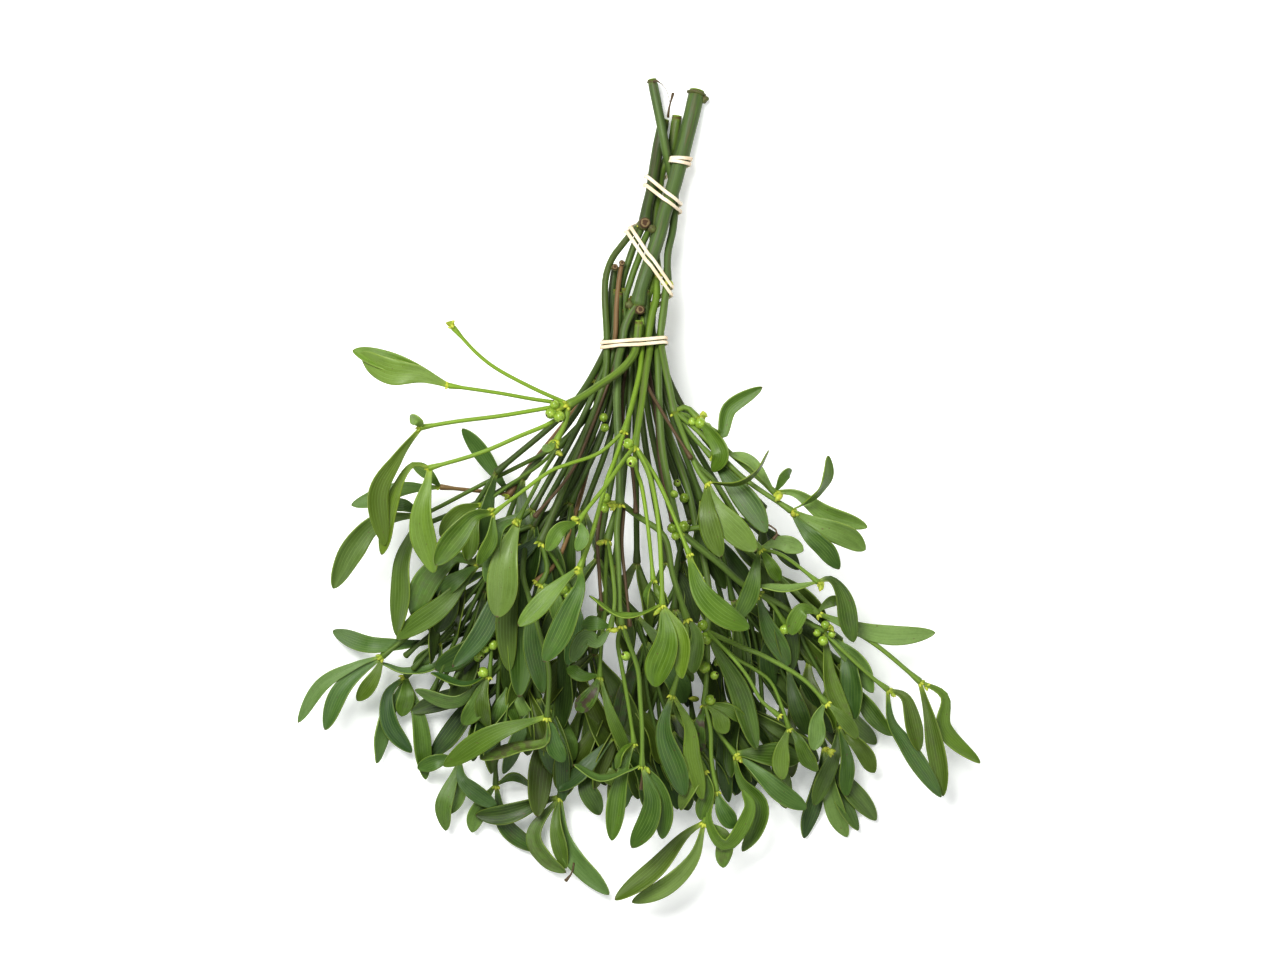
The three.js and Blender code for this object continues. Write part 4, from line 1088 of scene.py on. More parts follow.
# %% Node kit
class NodeKit:
    """A material whose nodes are made and linked in one go."""

    def __init__(self, name, roughness=0.5, specular=0.5):
        self.material = bpy.data.materials.new(name)
        self.material.use_nodes = True
        self.nodes = self.material.node_tree.nodes
        self.links = self.material.node_tree.links
        self.shader = self.nodes["Principled BSDF"]
        self.shader.inputs["Roughness"].default_value = roughness
        self.shader.inputs["Specular IOR Level"].default_value = specular

    def put(self, node, values):
        """Gives each named input of a node its value, or links the socket that is given."""
        for key, value in values.items():
            if isinstance(value, bpy.types.NodeSocket):
                self.links.new(value, node.inputs[key])
            else:
                node.inputs[key].default_value = value

    def add(self, kind, values, **settings):
        """Makes a node with these settings and values, and gives its outputs."""
        node = self.nodes.new(f"ShaderNode{kind}")
        for key, setting in settings.items():
            setattr(node, key, setting)
        self.put(node, values)
        return node.outputs


print("node kit ready")

# %% [markdown]
# Each finish is then a chain of three kinds of step: noise says where, a ramp turns it into a
# share, and a mix lays a colour on by that share.

# %% Finish
class Finish(NodeKit):
    def attribute(self, name):
        return self.add("Attribute", {}, attribute_name=name)["Vector"]

    def place(self):
        return self.add("TexCoord", {})["Object"]

    def split(self, vector):
        return self.add("SeparateXYZ", {0: vector})

    def combine(self, x, y, z):
        return self.add("CombineXYZ", {0: x, 1: y, 2: z})[0]

    def math(self, operation, first, second=0.0, third=0.0):
        return self.add("Math", {0: first, 1: second, 2: third}, operation=operation)[0]

    def times(self, first, second):
        return self.math("MULTIPLY", first, second)

    def ramp(self, value, low, high, start=0.0, end=1.0):
        """Runs smoothly from start to end while the value runs from low to high."""
        values = {0: value, 1: low, 2: high, 3: start, 4: end}
        return self.add("MapRange", values, interpolation_type="SMOOTHSTEP")[0]

    def noise(self, vector, scale, detail=3.0):
        return self.add("TexNoise", {"Vector": vector, "Scale": scale, "Detail": detail})["Fac"]

    def mix(self, share, first, second):
        return self.add("Mix", {0: share, 6: first, 7: second}, data_type="RGBA")[2]

    def bump(self, height, strength, distance):
        values = {"Height": height, "Strength": strength, "Distance": distance}
        self.links.new(self.add("Bump", values)["Normal"], self.shader.inputs["Normal"])


print("finishes are built from noise, ramps and mixes")

# %% [markdown]
# A leaf starts from a green between its plant's deep and fresh one. Age makes it pale, and some
# leaves lean to blue or to olive. Then the veins, the yellow base and the thin rim are laid on by
# the place across and along the leaf, and at last the stains, the specks and a browned tip.

# %% Leaf finish
VEIN_LINES = 7
VEIN_SHARE = 0.5
HUE_SCATTER, HUE_SHARE = 7.3, 0.34
BLUE_GREEN, OLIVE = srgb(56, 96, 56), srgb(98, 110, 22)
RIM_FROM, RIM_TO, RIM_SHARE = 0.94, 0.99, 0.4
STAIN, SPECK, BROWNED = srgb(78, 52, 54), srgb(92, 66, 44), srgb(104, 62, 66)


def leaf_finish(name, deep, fresh, aged, rim):
    kit = Finish(name)
    across, along, seed = kit.split(kit.attribute("skin"))
    tone, pale, purple = kit.split(kit.attribute("looks"))
    own = kit.combine(kit.times(across, 1.2), kit.times(along, 2.4), seed)
    cloud = kit.noise(own, 1.5)
    mottle = kit.noise(kit.place(), 900, 4)
    strand = kit.noise(kit.combine(kit.times(across, 16), along, seed), 1.6, 2)

    # The green of this leaf, with clouds, strands and mottles in it.
    green = kit.math("MULTIPLY_ADD", kit.ramp(cloud, 0.3, 0.7), 0.35, kit.times(tone, 0.7))
    colour = kit.mix(green, deep, fresh)
    colour = kit.mix(kit.times(pale, kit.ramp(cloud, 0.2, 0.6, 0.65, 1)), colour, aged)
    colour = kit.mix(kit.ramp(strand, 0.42, 0.7, 0, 0.22), colour, fresh)
    colour = kit.mix(kit.ramp(mottle, 0.45, 0.75, 0, 0.16), colour, deep)
    hue = kit.math("FRACT", kit.times(seed, HUE_SCATTER))
    colour = kit.mix(kit.ramp(hue, 0.55, 1, 0, HUE_SHARE), colour, BLUE_GREEN)
    colour = kit.mix(kit.ramp(hue, 0.45, 0, 0, HUE_SHARE), colour, OLIVE)

    # Dark fibres and pale veins run along it, to a yellow base and a thin rim.
    wave = kit.math("COSINE", kit.times(across, math.pi * VEIN_LINES))
    veins = kit.times(kit.ramp(wave, 0.86, 1), kit.ramp(along, 0.97, 0.7))
    fibres = kit.combine(kit.times(across, 26), kit.times(along, 2.5), seed)
    colour = kit.mix(kit.ramp(kit.noise(fibres, 2, 2), 0.42, 0.3, 0, 0.4), colour, deep)
    colour = kit.mix(kit.times(veins, VEIN_SHARE), colour, aged)
    colour = kit.mix(kit.ramp(along, 0.14, 0.0, 0, 0.75), colour, rim)
    edge = kit.math("ABSOLUTE", across)
    colour = kit.mix(kit.ramp(edge, RIM_FROM, RIM_TO, 0, RIM_SHARE), colour, rim)

    # Stains, specks and a browned tip come last.
    stains = kit.ramp(kit.noise(kit.place(), 260, 3), 0.45, 0.6, 0, 0.8)
    colour = kit.mix(kit.times(purple, stains), colour, STAIN)
    specks = kit.ramp(kit.noise(kit.place(), 620, 1), 0.74, 0.79, 0, 0.75)
    colour = kit.mix(specks, colour, SPECK)
    tip = kit.times(kit.ramp(along, 0.975, 1), kit.ramp(kit.noise(own, 0.8), 0.5, 0.62))
    colour = kit.mix(tip, colour, BROWNED)

    kit.put(kit.shader, {"Base Color": colour, "Roughness": kit.ramp(cloud, 0.2, 0.8, 0.34, 0.5)})
    relief = kit.math("MULTIPLY_ADD", veins, -0.6, kit.times(strand, 1.2))
    kit.bump(kit.math("MULTIPLY_ADD", mottle, 0.35, relief), 0.4, 0.0002)
    return kit.material


print("leaf finish has", VEIN_LINES, "vein lines")

# %% [markdown]
# Stems grow darker and greyer with age. The youngest shoots are as bright as the leaves, and the
# old ones are streaked with purple brown. All turn yellow at their joints, round a thin brown
# scar. The same nodes serve them all: the rod says how old it is and how near its joint lies.

# %% Stem finish
SCAR = srgb(94, 66, 52)


def stem_finish(name, young, old, joint_colour, streak, streak_share=0.6):
    kit = Finish(name, specular=0.4)
    round_x, round_y, distance = kit.split(kit.attribute("skin"))
    age, whim, joint = kit.split(kit.attribute("looks"))
    shift = kit.times(whim, 30)
    stretched = kit.combine(round_x, round_y, kit.math("MULTIPLY_ADD", distance, 0.14, shift))
    lines = kit.combine(kit.times(round_x, 5), kit.times(round_y, 5),
                        kit.math("MULTIPLY_ADD", distance, 0.5, shift))
    broad, fine = kit.noise(stretched, 1.6), kit.noise(lines, 1.5)
    mottle = kit.noise(kit.place(), 1100, 3)

    # Green that greys with age, and is streaked where the shoot is old.
    grown = kit.math("MULTIPLY_ADD", kit.ramp(broad, 0.3, 0.7), 0.4, kit.times(age, 0.75))
    colour = kit.mix(grown, young, old)
    streaks = kit.times(kit.ramp(broad, 0.52, 0.66), kit.ramp(fine, 0.4, 0.6))
    by_age = kit.ramp(age, 0.1, 0.8, 0.3 * streak_share, streak_share)
    colour = kit.mix(kit.times(streaks, by_age), colour, streak)
    colour = kit.mix(kit.ramp(fine, 0.5, 0.72, 0, 0.25), colour, young)
    colour = kit.mix(kit.ramp(mottle, 0.5, 0.75, 0, 0.22), colour, old)

    # Yellow at the joint, and a broken brown ring where the shoot starts.
    lit = kit.times(joint, kit.ramp(age, 0.2, 1, 0.85, 0.45))
    colour = kit.mix(lit, colour, joint_colour)
    ring = kit.times(kit.ramp(distance, 0.0, 0.1), kit.ramp(distance, 0.22, 0.1))
    broken = kit.ramp(kit.noise(kit.place(), 420, 1), 0.4, 0.62, 0, 0.85)
    colour = kit.mix(kit.times(ring, broken), colour, SCAR)

    kit.put(kit.shader, {"Base Color": colour, "Roughness": kit.ramp(fine, 0.3, 0.7, 0.42, 0.6)})
    kit.bump(kit.math("MULTIPLY_ADD", mottle, 0.5, fine), 0.45, 0.00025)
    return kit.material


print("stem finish ready")

# %% [markdown]
# The berries are glossy and a little see-through, light green with a yellow cheek. Their flower
# left a dark ring with a dot at the tip. The buds are duller and yellower. One material serves
# both, since each ball says which it is.

# %% Fruit finish
SKIN_LIGHT, LIGHT_DEPTH = 0.08, 0.002


def fruit_finish(name):
    kit = Finish(name)
    _, _, z = kit.split(kit.attribute("skin"))
    _, is_berry, _ = kit.split(kit.attribute("looks"))
    cloud = kit.noise(kit.place(), 320, 2)
    # A bud is mottled yellow, and brown at its tip.
    bud = kit.mix(kit.ramp(cloud, 0.35, 0.65), srgb(140, 158, 50), srgb(188, 194, 76))
    bud = kit.mix(kit.ramp(z, 0.72, 1, 0, 0.55), bud, srgb(146, 112, 62))
    # A berry is speckled, with a pale ring round the dark dot at its tip.
    green = kit.mix(kit.ramp(cloud, 0.3, 0.7), srgb(120, 148, 48), srgb(156, 182, 74))
    speckles = kit.ramp(kit.noise(kit.place(), 1300, 1), 0.6, 0.75, 0, 0.5)
    green = kit.mix(speckles, green, srgb(190, 208, 110))
    ring = kit.times(kit.ramp(z, 0.9, 0.92), kit.ramp(z, 0.95, 0.93))
    green = kit.mix(kit.times(ring, 0.5), green, srgb(202, 214, 130))
    green = kit.mix(kit.ramp(z, 0.945, 0.965), green, srgb(66, 50, 38))
    kit.put(kit.shader, {
        "Base Color": kit.mix(is_berry, bud, green),
        "Roughness": kit.ramp(is_berry, 0, 1, 0.55, 0.26),
        "Subsurface Weight": SKIN_LIGHT,
        "Subsurface Scale": LIGHT_DEPTH,
    })
    kit.bump(kit.times(cloud, kit.ramp(is_berry, 0, 1, 1, 0.25)), 0.4, 0.0003)
    return kit.material


FRUIT = fruit_finish("berry_and_bud")
print("fruit finish ready")

# %% [markdown]
# ## Dressing the sprigs
# Eight sprigs make the bunch. Each has its own green, as the shoots of different plants do: the
# one on top is the brightest, and those underneath are the darkest. That order is partly painted
# light on top and painted shade beneath. Every green is given three times: in the shade of the
# leaf, where it is fresh, and where it has aged.

# %% Sprig greens
GREENS = {
    "fresh": (srgb(54, 80, 14), srgb(100, 130, 34), srgb(130, 156, 86)),
    # The bright green, of the sprigs on top, is lighter partly as painted light.
    "bright": (srgb(64, 92, 16), srgb(114, 144, 40), srgb(134, 162, 86)),
    "mid": (srgb(46, 74, 14), srgb(92, 122, 34), srgb(124, 150, 84)),
    # The deep and under greens, of the sprigs and foliage underneath, are darker partly as painted
    # shade.
    "deep": (srgb(32, 54, 10), srgb(84, 114, 32), srgb(112, 138, 72)),
    "under": (srgb(22, 38, 6), srgb(72, 98, 26), srgb(102, 124, 56)),
}
RIM_GREEN = srgb(152, 172, 64)
leaf_finishes = {name: leaf_finish(f"leaf_{name}", *greens, RIM_GREEN)
                 for name, greens in GREENS.items()}
print(len(leaf_finishes), "leaf greens")

# %% [markdown]
# The stems follow their leaves, from young wood to old. The deep stems of the sprigs underneath are
# darker partly as painted shade. Two more finishes are for dead wood: the light brown of a dry
# twig, and the darker brown of a wisp of bark.

# %% Stem greens
STEMS = {
    "fresh": (srgb(120, 148, 54), srgb(80, 100, 56)),
    "bright": (srgb(136, 166, 50), srgb(88, 110, 48)),
    "mid": (srgb(100, 128, 42), srgb(64, 78, 42)),
    # The deep stems, of the sprigs and shoots underneath, are darker partly as painted shade.
    "deep": (srgb(84, 110, 36), srgb(50, 62, 32)),
}
JOINT_YELLOW = srgb(168, 178, 66)
STREAK = srgb(98, 74, 66)
DEAD_STREAKS = 0.8
stem_finishes = {name: stem_finish(f"stem_{name}", *greens, JOINT_YELLOW, STREAK)
                 for name, greens in STEMS.items()}
stem_finishes["dry"] = stem_finish("stem_dry", srgb(142, 116, 76), srgb(112, 86, 58),
                                   srgb(128, 104, 66), srgb(78, 56, 42), DEAD_STREAKS)
stem_finishes["bark"] = stem_finish("stem_bark", srgb(98, 80, 54), srgb(66, 52, 36),
                                    srgb(96, 84, 50), srgb(48, 36, 28), DEAD_STREAKS)
print(len(bpy.data.materials), "materials")

# %% [markdown]
# Each sprig becomes three pieces that stand for its solid: leaves, stems, and berries with buds.
# The leaves get one Solidify for their thickness, because it thickens along the surface, however
# the leaf is bent.

# %% Dress each sprig
LEAF_THICKNESS = 0.6
# Node: routes, record slot, leaf green, stem green.
SPRIGS = {
    "sprig_middle": (MIDDLE_SPRIG, "middle_leaf", "fresh", "fresh"),
    # The sprigs on top take the bright greens, which are lighter partly as painted light.
    "sprig_front": (FRONT_SPRIG, "front_leaf", "bright", "bright"),
    "sprig_upper_left": (UPPER_LEFT_SPRIG, "upper_left_leaf", "bright", "bright"),
    "sprig_left": (LEFT_SPRIG, "left_leaf", "mid", "mid"),
    "twig_dry": (DRY_TWIG, "dry_twig", "mid", "dry"),
    "sprig_right": (RIGHT_SPRIG, "right_leaf", "fresh", "fresh"),
    # The sprigs underneath take the deep greens, which are darker partly as painted shade.
    "sprig_lower_left": (LOWER_LEFT_SPRIG, "lower_left_leaf", "deep", "deep"),
    "sprig_lower_right": (LOWER_RIGHT_SPRIG, "lower_right_leaf", "deep", "deep"),
}


def dress(name, bm, material, nodes):
    """A finished piece of the bunch, in metres, which stands for its solid."""
    bmesh.ops.scale(bm, vec=(MM, MM, MM), verts=bm.verts)
    for face in bm.faces:
        face.smooth = True
    piece = object_from(name, bm)
    piece.data.materials.append(material)
    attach(piece, "root")
    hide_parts(*nodes)
    return piece


def dress_leaves(name, bm, green, node):
    leaves = dress(name, bm, leaf_finishes[green], [node])
    skin = leaves.modifiers.new("thickness", "SOLIDIFY")
    skin.thickness = LEAF_THICKNESS * MM
    skin.offset = 0
    print(name, len(leaves.data.polygons), "leaf faces")


for node, (sprig, slot, leaf_green, stem_green) in SPRIGS.items():
    meshes = new_meshes()
    grow(sprig, meshes)
    dress_leaves(f"{node}_leaves", meshes["leaves"], leaf_green, node)
    dress(f"{node}_stems", meshes["wood"], stem_finishes[stem_green], [node])
    dress(f"{node}_fruit", meshes["fruit"], FRUIT, [node])

# %% [markdown]
# ## The rubber band
# One natural rubber band holds the bunch. It is hooked on the thick stem and wound double, side
# by side, down to the neck. A taut band runs straight: each half turn lies in one upright plane,
# on whichever stem stands out furthest in it. The stems shape it, so it is laid against them in
# code. A cloth or rope simulation would give the same path, slower.

# %% Stems that a plane cuts
BUNDLE_SAMPLES = 60

bundle = []
for route, radii in stems_grown:
    shares = [i / BUNDLE_SAMPLES for i in range(BUNDLE_SAMPLES + 1)]
    bundle.append([(route.place(share), lerp(*radii, share)) for share in shares])


def cuts_by(held, origin, across):
    """Centre, radius and direction of the stems that an upright plane cuts on their way down."""
    cuts = []
    for places in held:
        offsets = [(place - origin).dot(across) for place, _ in places]
        for i in range(1, len(places)):
            (start, start_radius), (end, end_radius) = places[i - 1], places[i]
            if (offsets[i - 1] < 0) != (offsets[i] < 0) and end.y <= start.y:
                part = offsets[i - 1] / (offsets[i - 1] - offsets[i])
                radius = lerp(start_radius, end_radius, part)
                cuts.append((start.lerp(end, part), radius, (end - start).normalized()))
    return cuts


print(len(bundle), "stems to lie against")

# %% [markdown]
# A plane cuts a leaning stem in an oval. The band touches the oval where it stands out furthest,
# so the lean of the stem is taken into account, and the outermost stem wins.

# %% Where the band touches
def touch_of(cut, out, across):
    """The place in the plane where a cut stem reaches furthest in the direction out."""
    centre, radius, along = cut
    lean = along.dot(across)
    normal = (out - across * (out.dot(along) / lean)).normalized()
    point = centre + (normal - along * (normal.dot(across) / lean)) * radius
    return point, normal


def outermost(cuts, out, across):
    return max((touch_of(cut, out, across) for cut in cuts), key=lambda touch: touch[0].dot(out))


def edge_of(held, facing, y):
    """Where the bundle reaches furthest to the side that is faced."""
    across = Vector((0, 1, 0))
    return outermost(cuts_by(held, Vector((0, y, 0)), across), Vector((facing, 0, 0)), across)[0]


print("the neck is", round((edge_of(bundle, 1, NECK.y) - edge_of(bundle, -1, NECK.y)).x), "mm wide")

# %% [markdown]
# The band changes sides at the edges of the bundle. Each crossing is given by how far along the
# stems it lies and how far apart the two strands are there. From one crossing to the next the band
# goes half round, over the stems and then under them, in small steps of its angle.

# %% Half turns
BAND_WIDTH, BAND_THICKNESS, BAND_GAP = 1.9, 1, 0.85
# Each crossing: its y, and the distance between the strands.
BAND_EDGES = [(163.6, 1.4), (163, 2.6), (153.2, 4.4), (139.8, 3.8), (128.1, 2.1), (98, 3.8),
              (71, 2.4), (73.2, 2.5), (72.4, 1.3)]
# Degrees in a step, in the last turn, whose end is tucked in, and in any other.
BAND_STEP, BAND_TAIL, HALF_TURN = 5, 160, 180


def half_turn(held, start, end, upward, sweep):
    """From one edge of the bundle to the other, over it or under it."""
    ahead = Vector((*(end - start).xy, 0))
    width = ahead.length
    ahead.normalize()
    across = Vector((-ahead.y, ahead.x, 0))
    cuts = [cut for cut in cuts_by(held, start, across) if 0 < (cut[0] - start).dot(ahead) < width]
    places = []
    for angle in range(0, sweep + 1, BAND_STEP):
        turn = math.radians(angle)
        out = ahead * -math.cos(turn) + Vector((0, 0, upward * math.sin(turn)))
        point, normal = outermost(cuts, out, across)
        places.append((point + normal * (BAND_GAP + BAND_THICKNESS / 2), normal))
    return places


def band_path(hand):
    """A strand is hooked on the thick stem, and then wound round all of them."""
    path = []
    for i, (before, after) in enumerate(zip(BAND_EDGES, BAND_EDGES[1:])):
        held = bundle if i else bundle[:1]
        facing = -1 if i % 2 else 1
        start = edge_of(held, -facing, before[0] + hand * before[1] / 2)
        end = edge_of(held, facing, after[0] + hand * after[1] / 2)
        sweep = BAND_TAIL if i == len(BAND_EDGES) - 2 else HALF_TURN
        path += half_turn(held, start, end, facing, sweep)[1 if i else 0:]
    return path


print("the band goes round the bundle", (len(BAND_EDGES) - 1) / 2, "times")

# %% [markdown]
# Both strands are laid along their paths as flat rods. Places that fall almost on one another,
# where one half turn hands over to the next, are left out, because they would crease the band.

# %% Wind the band
NEAR_STEP = 0.35
BAND_SIDES, BAND_ROW = 12, 2.0

band = new_mesh()
for hand in (1, -1):
    path = []
    for place in band_path(hand):
        if not path or (place[0] - path[-1][0]).length > NEAR_STEP:
            path.append(place)
    rings = []
    for k, (centre, normal) in enumerate(path):
        ahead = path[min(k + 1, len(path) - 1)][0] - path[max(k - 1, 0)][0]
        side = normal.cross(ahead).normalized()
        rings.append((centre, side, normal, BAND_WIDTH / 2, BAND_ROW * k))
    plain = [(0, 0, 0)] * len(rings)
    add_rod(band, rings, BAND_SIDES, plain, BAND_THICKNESS / BAND_WIDTH)
    print("a strand with", len(rings), "rings")

# %% [markdown]
# Natural rubber is matt and cream coloured, clouded with a darker dust. Broad noise clouds it and
# fine noise grains it.

# %% Rubber
def rubber_finish():
    kit = Finish("natural_rubber", roughness=0.62, specular=0.35)
    cloud, grain = kit.noise(kit.place(), 120, 3), kit.noise(kit.place(), 1800, 2)
    colour = kit.mix(kit.ramp(cloud, 0.35, 0.65), srgb(228, 210, 182), srgb(240, 228, 206))
    colour = kit.mix(kit.ramp(grain, 0.55, 0.75, 0, 0.35), colour, srgb(216, 186, 148))
    kit.put(kit.shader, {"Base Color": colour})
    kit.bump(kit.math("MULTIPLY_ADD", grain, 0.6, cloud), 0.4, 0.0002)
    return kit.material


band_piece = dress("rubber_band_wound", band, rubber_finish(), ["rubber_band"])
print("band", len(band_piece.data.polygons), "faces")

# %% [markdown]
# ## The foliage underneath
# Below the sprigs that can be told apart lies a tangle of older shoots. It fills the gaps with dark
# leaves, whose dark green is partly painted shade beneath the sprigs, and keeps the heap from
# looking hollow. Nobody could route these one by one, so a rule grows them: a fan of shoots leaves
# the neck and each forks twice. A joint bears one leaf or two, and the last joints bear three. What
# would stand out past the edge of the bunch is left off.

# %% The edge of the bunch
# How far the foliage reaches from the neck, by angle from straight down.
REACH = [(-55, 140), (-44, 178), (-35, 205), (-22, 232), (0, 244), (20, 240), (27, 240), (33, 225),
         (38, 178), (43, 135), (50, 100)]
INSIDE = 7


def reach_at(angle):
    for (start, low), (end, high) in zip(REACH, REACH[1:]):
        if start <= angle <= end:
            return lerp(low, high, (angle - start) / (end - start))
    return 0


def out_at(angle, distance, centre=NECK):
    """The place at a distance from a centre, by angle from straight down."""
    turn = math.radians(angle)
    return centre + Vector((math.sin(turn), -math.cos(turn))) * distance


def is_inside(point):
    away = point - NECK
    angle = math.degrees(math.atan2(away.x, -away.y))
    return away.length < reach_at(angle) - INSIDE


print("straight down, the undergrowth reaches", reach_at(0) - INSIDE, "mm from the neck")

# %% [markdown]
# A shoot forks to both sides, and each fork is grown by the same function, so that a few lines
# make a whole bush. The forks are narrower the further out they are.

# %% Tufts and forks
# Distances from the neck at which the shoots fork, in millimetres.
FORKS, FORK_SHIFT, FORK_SPREAD = (98, 148, 192), 14, 11
ELBOW_SHIFT = 4
TUFT_LEAN, TUFT_BEND = (10, 44), (0.3, 1.2)
TUFT_LENGTH, TUFT_WIDTH, TUFT_ROLL = (32, 54), (7, 11.5), 50
JOINT_LEAVES, LAST_LEAVES = (1, 2, 2), 3
FORK_RADIUS, RADIUS_LOSS, RADIUS_TAPER = 1.35, 0.2, 0.1


def tuft(whims, joint, angle, count):
    leaves = []
    for i in range(count):
        lean = (-1) ** i * whims.uniform(*TUFT_LEAN)
        length = whims.uniform(*TUFT_LENGTH)
        middle = out_at(angle + lean, 0.55 * length, joint)
        tip = out_at(angle + lean * whims.uniform(*TUFT_BEND), 0.45 * length, middle)
        if is_inside(tip):
            width, roll = whims.uniform(*TUFT_WIDTH), whims.uniform(-TUFT_ROLL, TUFT_ROLL)
            leaves.append(leaf([tuple(middle), tuple(tip)], width, roll))
    return leaves


def under_fork(whims, angle, order):
    """The joint at the end of a shoot with what it carries, if it lies inside the bunch."""
    joint = out_at(angle, FORKS[order] + whims.uniform(-FORK_SHIFT, FORK_SHIFT))
    if not is_inside(joint):
        return None, []
    last = order == len(FORKS) - 1
    carried = tuft(whims, joint, angle, LAST_LEAVES if last else whims.choice(JOINT_LEAVES))
    if not last:
        for hand in (-1, 1):
            turned = angle + hand * whims.uniform(0.2, 1) * FORK_SPREAD / (order + 1)
            end, further = under_fork(whims, turned, order + 1)
            if end:
                elbow = (joint + end) / 2 + Vector((whims.uniform(-ELBOW_SHIFT, ELBOW_SHIFT), 0))
                radius = FORK_RADIUS - RADIUS_LOSS * order
                radii = [radius, radius - RADIUS_TAPER]
                carried.append(stem([tuple(elbow), tuple(end)], radii, further))
    return joint, carried


print("shoots fork at", FORKS, "mm from the neck")

# %% [markdown]
# The fan starts at the neck, in the thickness of the bundle, and sinks to the lowest levels of the
# heap. Its left and right halves are pieces of their own, each with the sprig that it belongs to.

# %% Grow the undergrowth
# Angles of the fan, and the one that parts its left from its right, in degrees.
FAN_FROM, FAN_TO, FAN_STEP, FAN_MIDDLE, FAN_SHIFT = -44, 38, 5, -8, 3
# How wide the fan is at the neck, how its angles open there, and how much narrower its roots are.
FAN_HALF_WIDTH, FAN_OPENING, ROOT_NARROWING = 13, 1.5, 0.85
FAN_HEIGHTS, ROOT_PLACES, FIRST_BEND = (27, 33), (82, 100), 45
FAN_LEVELS, FAR_SHARE = (1.0, 2.6), 0.6
FAN_RADII = [1.7, 1.5]

undergrowth = {"left": [], "right": []}
fan = random.Random("fan")
for angle in range(FAN_FROM, FAN_TO, FAN_STEP):
    side = "left" if angle < FAN_MIDDLE else "right"
    aside = FAN_HALF_WIDTH * math.sin(math.radians(FAN_OPENING * angle))
    at_neck = (NECK.x + aside, NECK.y, fan.uniform(*FAN_HEIGHTS))
    root = (ROOT_NARROWING * at_neck[0], fan.uniform(*ROOT_PLACES), at_neck[2] - 1)
    low = fan.uniform(*FAN_LEVELS)
    joint, carried = under_fork(fan, angle + fan.uniform(-FAN_SHIFT, FAN_SHIFT), 0)
    route = [root, at_neck, tuple(out_at(angle, FIRST_BEND)), tuple(joint)]
    undergrowth[side].append(stem(route, FAN_RADII, carried, [low + 1, FAR_SHARE * low]))

for side, shoots in undergrowth.items():
    meshes = new_meshes()
    for shoot in shoots:
        grow(shoot, meshes)
    node, slot = f"sprig_lower_{side}", f"lower_{side}_leaf"
    # The under green of these leaves and the deep green of their stems are darker partly as painted
    # shade.
    dress_leaves(f"undergrowth_{side}_leaves", meshes["leaves"], "under", node)
    dress(f"undergrowth_{side}_stems", meshes["wood"], stem_finishes["deep"], [node])
    meshes["fruit"].free()

# %% [markdown]
# ## Odds and ends
# A gathered bunch carries small things that no plan would list: dry twigs caught between the
# shoots, a wisp of bark, buds that broke along the stems, and the stubs of side shoots. They are
# placed by where they lie from above, and rest on whatever stem is highest there.

# %% Tops of the stems
TOP_SAMPLES, TOP_REACH = 24, 4


def top_at(x, y):
    """How high the stems lie at a place."""
    tops = [NECK_UNDERSIDE]
    for route, radii in stems_grown:
        for i in range(TOP_SAMPLES + 1):
            share = i / TOP_SAMPLES
            spot = route.place(share)
            if (spot.xy - Vector((x, y))).length < TOP_REACH:
                tops.append(spot.z + lerp(*radii, share))
    return max(tops)


print("the stems at the neck reach", round(top_at(*NECK)), "mm above the table")

# %% [markdown]
# The dry twigs and the wisps of bark are stems without leaves, written as those of the sprigs are.

# %% Dry twigs
DRY_TWIGS = [
    stem([(-19, -8), (-21, -25), (-20, -44), (-19, -60)], [1.1, 0.8], [], [4.6, 4.6]),
    stem([(-8, -10), (-9, -28), (-7, -48), (-5, -68)], [1.0, 0.7], [], [4.2, 4.2]),
    stem([(2, 56), (5, 48), (15, 31), (25, 15)], [0.9, 0.8], [], [5.6, 5.4]),
    stem([(60, -16.5), (65, -19), (68, -22), (66, -25)], [0.5, 0.3], [], [4.6, 4.6]),
    stem([(1.5, -138), (1, -143), (0.5, -149)], [0.7, 0.4], [], [3.95, 3.95]),
    stem([(-33, -187), (-34, -192), (-37, -196)], [0.5, 0.3], [], [0.75, 0.75]),
    stem([(-6, 66), (-9, 40), (-4, 10), (-2, -12)], [0.9, 0.8], [], [3.6, 4.4]),
    stem([(3, 66), (8, 36), (10, 12), (16, -16)], [1.0, 0.9], [], [3.4, 4.2]),
    stem([(-12, 62), (-24, 30), (-34, 8), (-52, -14)], [0.9, 0.8], [], [3.6, 4.0]),
    stem([(14, 185, 8), (14.6, 190, 9), (16.5, 197, 8)], [0.7, 0.15]),
    stem([(15, 192, 9), (13, 199, 13), (9, 203, 12), (7, 203, 9)], [0.14, 0.1]),
]
meshes = new_meshes()
for twig in DRY_TWIGS:
    grow(twig, meshes)
meshes["fruit"].free()
meshes["leaves"].free()
dress("dry_twigs", meshes["wood"], stem_finishes["bark"], ["twig_dry"])
print(len(DRY_TWIGS), "dry twigs and wisps")

# %% [markdown]
# The buds that broke along the shoots sit in twos and threes, on no joint of their own. More
# berries hang about the shoots too. Both are the balls of the joints again, at places of their own.

# %% Buds along the shoots
BUD_PLACES = [(-13, -9), (-19.5, -27), (-12, -70), (3.5, -139), (29.5, -70), (27.5, -105),
              (49.5, -134.5), (-30, -42), (-74.5, -11), (9, -60), (-32.5, -15), (-93.5, 81),
              (-42, 21), (-46, -28.5), (-43.5, 22.5), (-40.5, 17.5), (-61.5, -17), (69, -4),
              (76, -13), (31.5, 37), (90, -48), (70, -71), (94.5, -69), (125.5, -102),
              (142.5, -98.5), (94.5, -131)]
